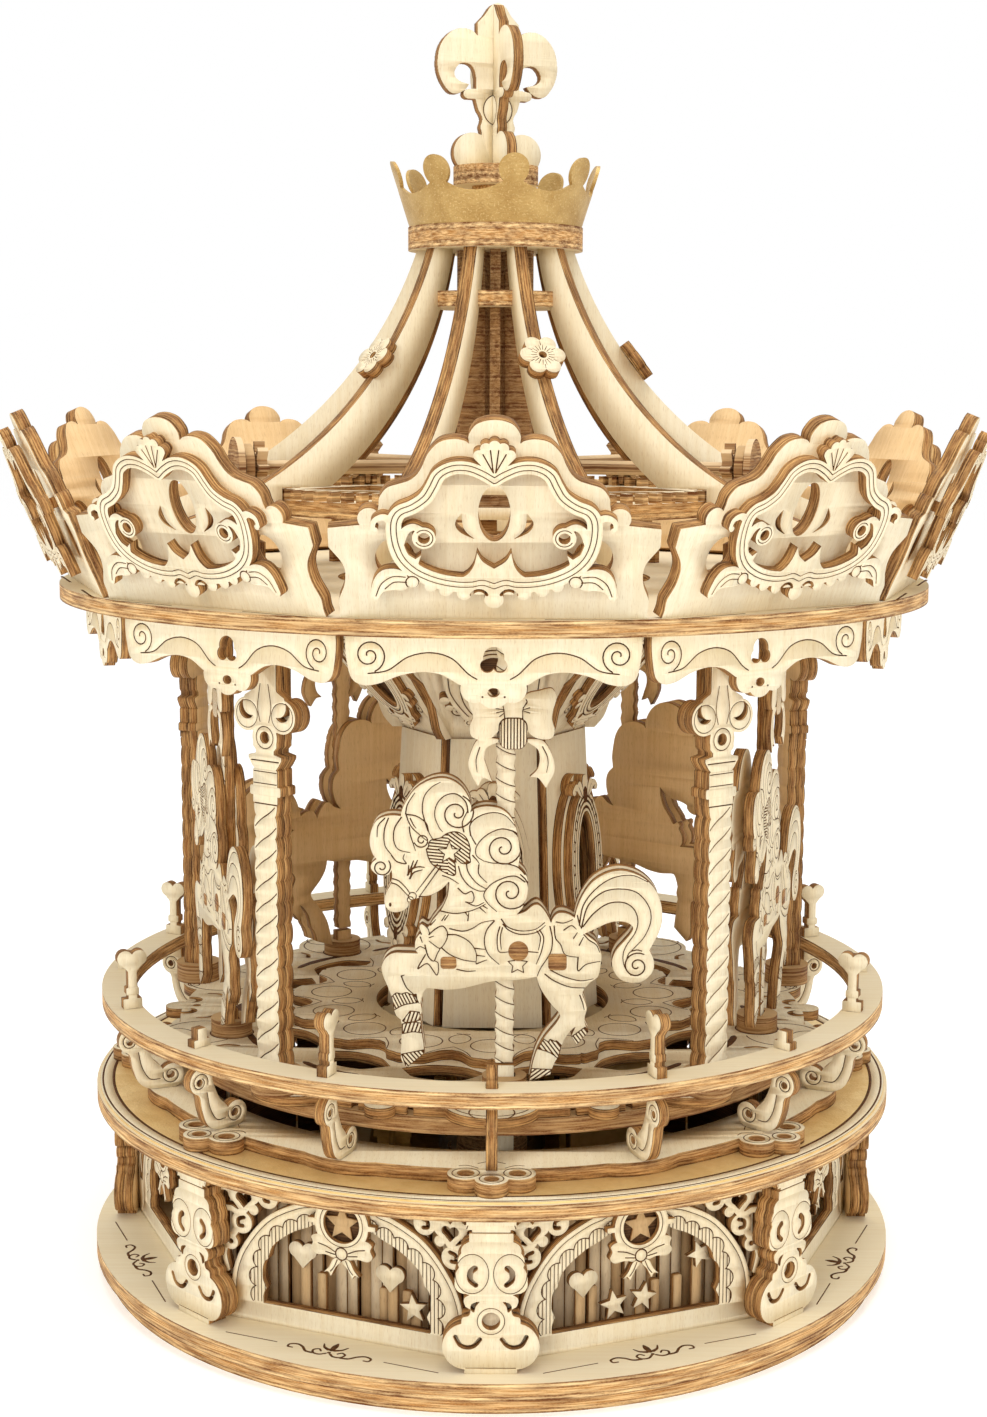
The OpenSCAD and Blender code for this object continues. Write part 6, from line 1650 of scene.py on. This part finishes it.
for node in ("base_disc_lower", "base_disc_upper", "top_ring", "rail_ring", "roof_disc", "crown_base",
             "rib_ring", "finial_cap", "deck_gear", "crown_wheel", "column_floors"):
    z0, z1 = low(node)[2], high(node)[2]
    finish_node(node, solid_wood("ply_" + node, z0, min(z1 - z0, THICKEST)))
stained = dict(pale=(0.62, 0.42, 0.21), deep=(0.50, 0.31, 0.14), light=(0.60, 0.38, 0.17),
               brown=(0.36, 0.18, 0.06))
middling = dict(pale=(0.80, 0.60, 0.36), deep=(0.66, 0.46, 0.25), light=(0.76, 0.54, 0.29),
                brown=(0.40, 0.20, 0.07))
for node in ("deck_rim", "column_core", "axle_brackets", "roof_hub", "shaft_strips", "deck_collars"):
    finish_node(node, solid_wood("tan_" + node, low(node)[2], SHEET, **stained))
for node in ("crank_1", "crank_2", "crank_3", "crank_4", "crank_5"):
    finish_node(node, solid_wood("tan_" + node, low(node)[2], SHEET, **middling))
finish_node("inlay_ring", gold_card("gold_inlay", (0.95, 0.72, 0.34), (0.82, 0.58, 0.24)))
print("wooden solids dressed")

# %% [markdown]
# The movement under the deck is brass and steel. Hardly any of it shows, but what does should
# read as metal: brushed, a little cloudy, and softer where it is worn.

# %% Metals of the movement
def metal(name, colour, worn, rough):
    f = Finish(name, solid=True)
    cloud = f.noise(3, 3, 3.0, 0.6).between(0.35, 0.65)
    brushed = f.noise(0.12, 6, 2.0, 0.5)
    f.set(Base_Color=f.mix(cloud, colour, worn), Metallic=0.9, Roughness=rough + 0.12*cloud,
          Normal=f.bump(brushed, 0.01, 0.4))
    return f.material


brass = metal("brass", (0.72, 0.52, 0.22), (0.60, 0.41, 0.15), 0.28)
steel = metal("steel", (0.55, 0.56, 0.57), (0.42, 0.42, 0.43), 0.26)
for node in ("bedplate", "drive_gear", "pin_cylinder", "governor_fan", "wind_key"):
    finish_node(node, brass)
for node in ("spring_housing", "tone_comb", "screws"):
    finish_node(node, steel)
print("solids that show:", [name for name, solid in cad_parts.items() if not solid.hide_render])

# %% [markdown]
# The camera stands in front, a little above the roof's edge, and looks down by nine degrees.
# The lens is long, so the far side of the roof is hardly smaller than the near side.

# %% Camera
camera_data = bpy.data.cameras.new("camera")
camera_data.sensor_fit, camera_data.sensor_height = "VERTICAL", 36.0
camera_data.lens, camera_data.shift_y = 54.53, 0.005
camera_data.clip_start, camera_data.clip_end = 0.02, 20
camera = place_object("camera", camera_data)
camera.matrix_world = move(0, -0.4676, 0.19073) @ turn(81.44, "X") @ turn(0.24)
bpy.context.scene.camera = camera
print("lens:", round(camera_data.lens, 1), "mm")

# %% [markdown]
# Three large lamps light the wood evenly and leave a soft shade under the roof. Small lamps
# would show the grooves better, but would also draw hard shadows of every scroll.

# %% Lamps
def lamp(name, place, aim, size, power):
    data = bpy.data.lights.new(name, "AREA")
    data.shape, data.size, data.energy = "DISK", size, power
    obj = place_object(name, data)
    obj.location = place
    obj.rotation_euler = (Vector(aim) - Vector(place)).to_track_quat("-Z", "Y").to_euler()


lamp("key_lamp", (-0.38, -0.98, 0.46), (0, 0, 0.09), 0.5, 3.3)
lamp("fill_lamp", (0.8, -0.7, 0.35), (0, 0, 0.12), 0.6, 1.6)
lamp("top_lamp", (0.05, -0.1, 1.1), (0, 0, 0.15), 0.8, 5.3)
print("lamps:", len(bpy.data.lights))

# %% [markdown]
# Floor and sky are white. A white sky would also flood the wood with light, so the sky asks
# what kind of ray meets it: the camera and shiny surfaces see full white, and the wood is lit
# by a little less.

# %% Floor and sky
FLOOR, FLOOR_Z, SKY_ON_WOOD = 6, -0.0002, 0.74
floor_data = bpy.data.meshes.new("floor")
floor_corners = [(x*FLOOR, y*FLOOR, FLOOR_Z) for x, y in ((-1, -1), (1, -1), (1, 1), (-1, 1))]
floor_data.from_pydata(floor_corners, [], [(0, 1, 2, 3)])
white = Finish("floor_white")
white.set(Base_Color=(0.9, 0.9, 0.9), Roughness=0.9, Emission_Color=(1, 1, 1), Emission_Strength=0.3)
floor_data.materials.append(white.material)
place_object("floor", floor_data)

world = bpy.data.worlds.new("studio")
bpy.context.scene.world = world
world.use_nodes = True
sky = Nodes(world.node_tree)
seen = sky.node("ShaderNodeMath", {"operation": "MAXIMUM"},
                {0: sky.node("ShaderNodeLightPath", output="Is Camera Ray"),
                 1: sky.node("ShaderNodeLightPath", output="Is Glossy Ray")})
level = sky.node("ShaderNodeMapRange", None, {"Value": seen, "To Min": SKY_ON_WOOD, "To Max": 1.0})
background = world.node_tree.nodes["Background"]
sky.put(background.inputs["Color"], (1, 1, 1))
sky.put(background.inputs["Strength"], level)
bpy.context.scene.view_settings.view_transform = "Standard"
print("floor and sky ready")

# %% [markdown]
# Last, the scene is brought up to date and the time of the build is printed.

# %% Finish
bpy.context.view_layer.update()
print(f"built in {time.time() - started:.0f} s")
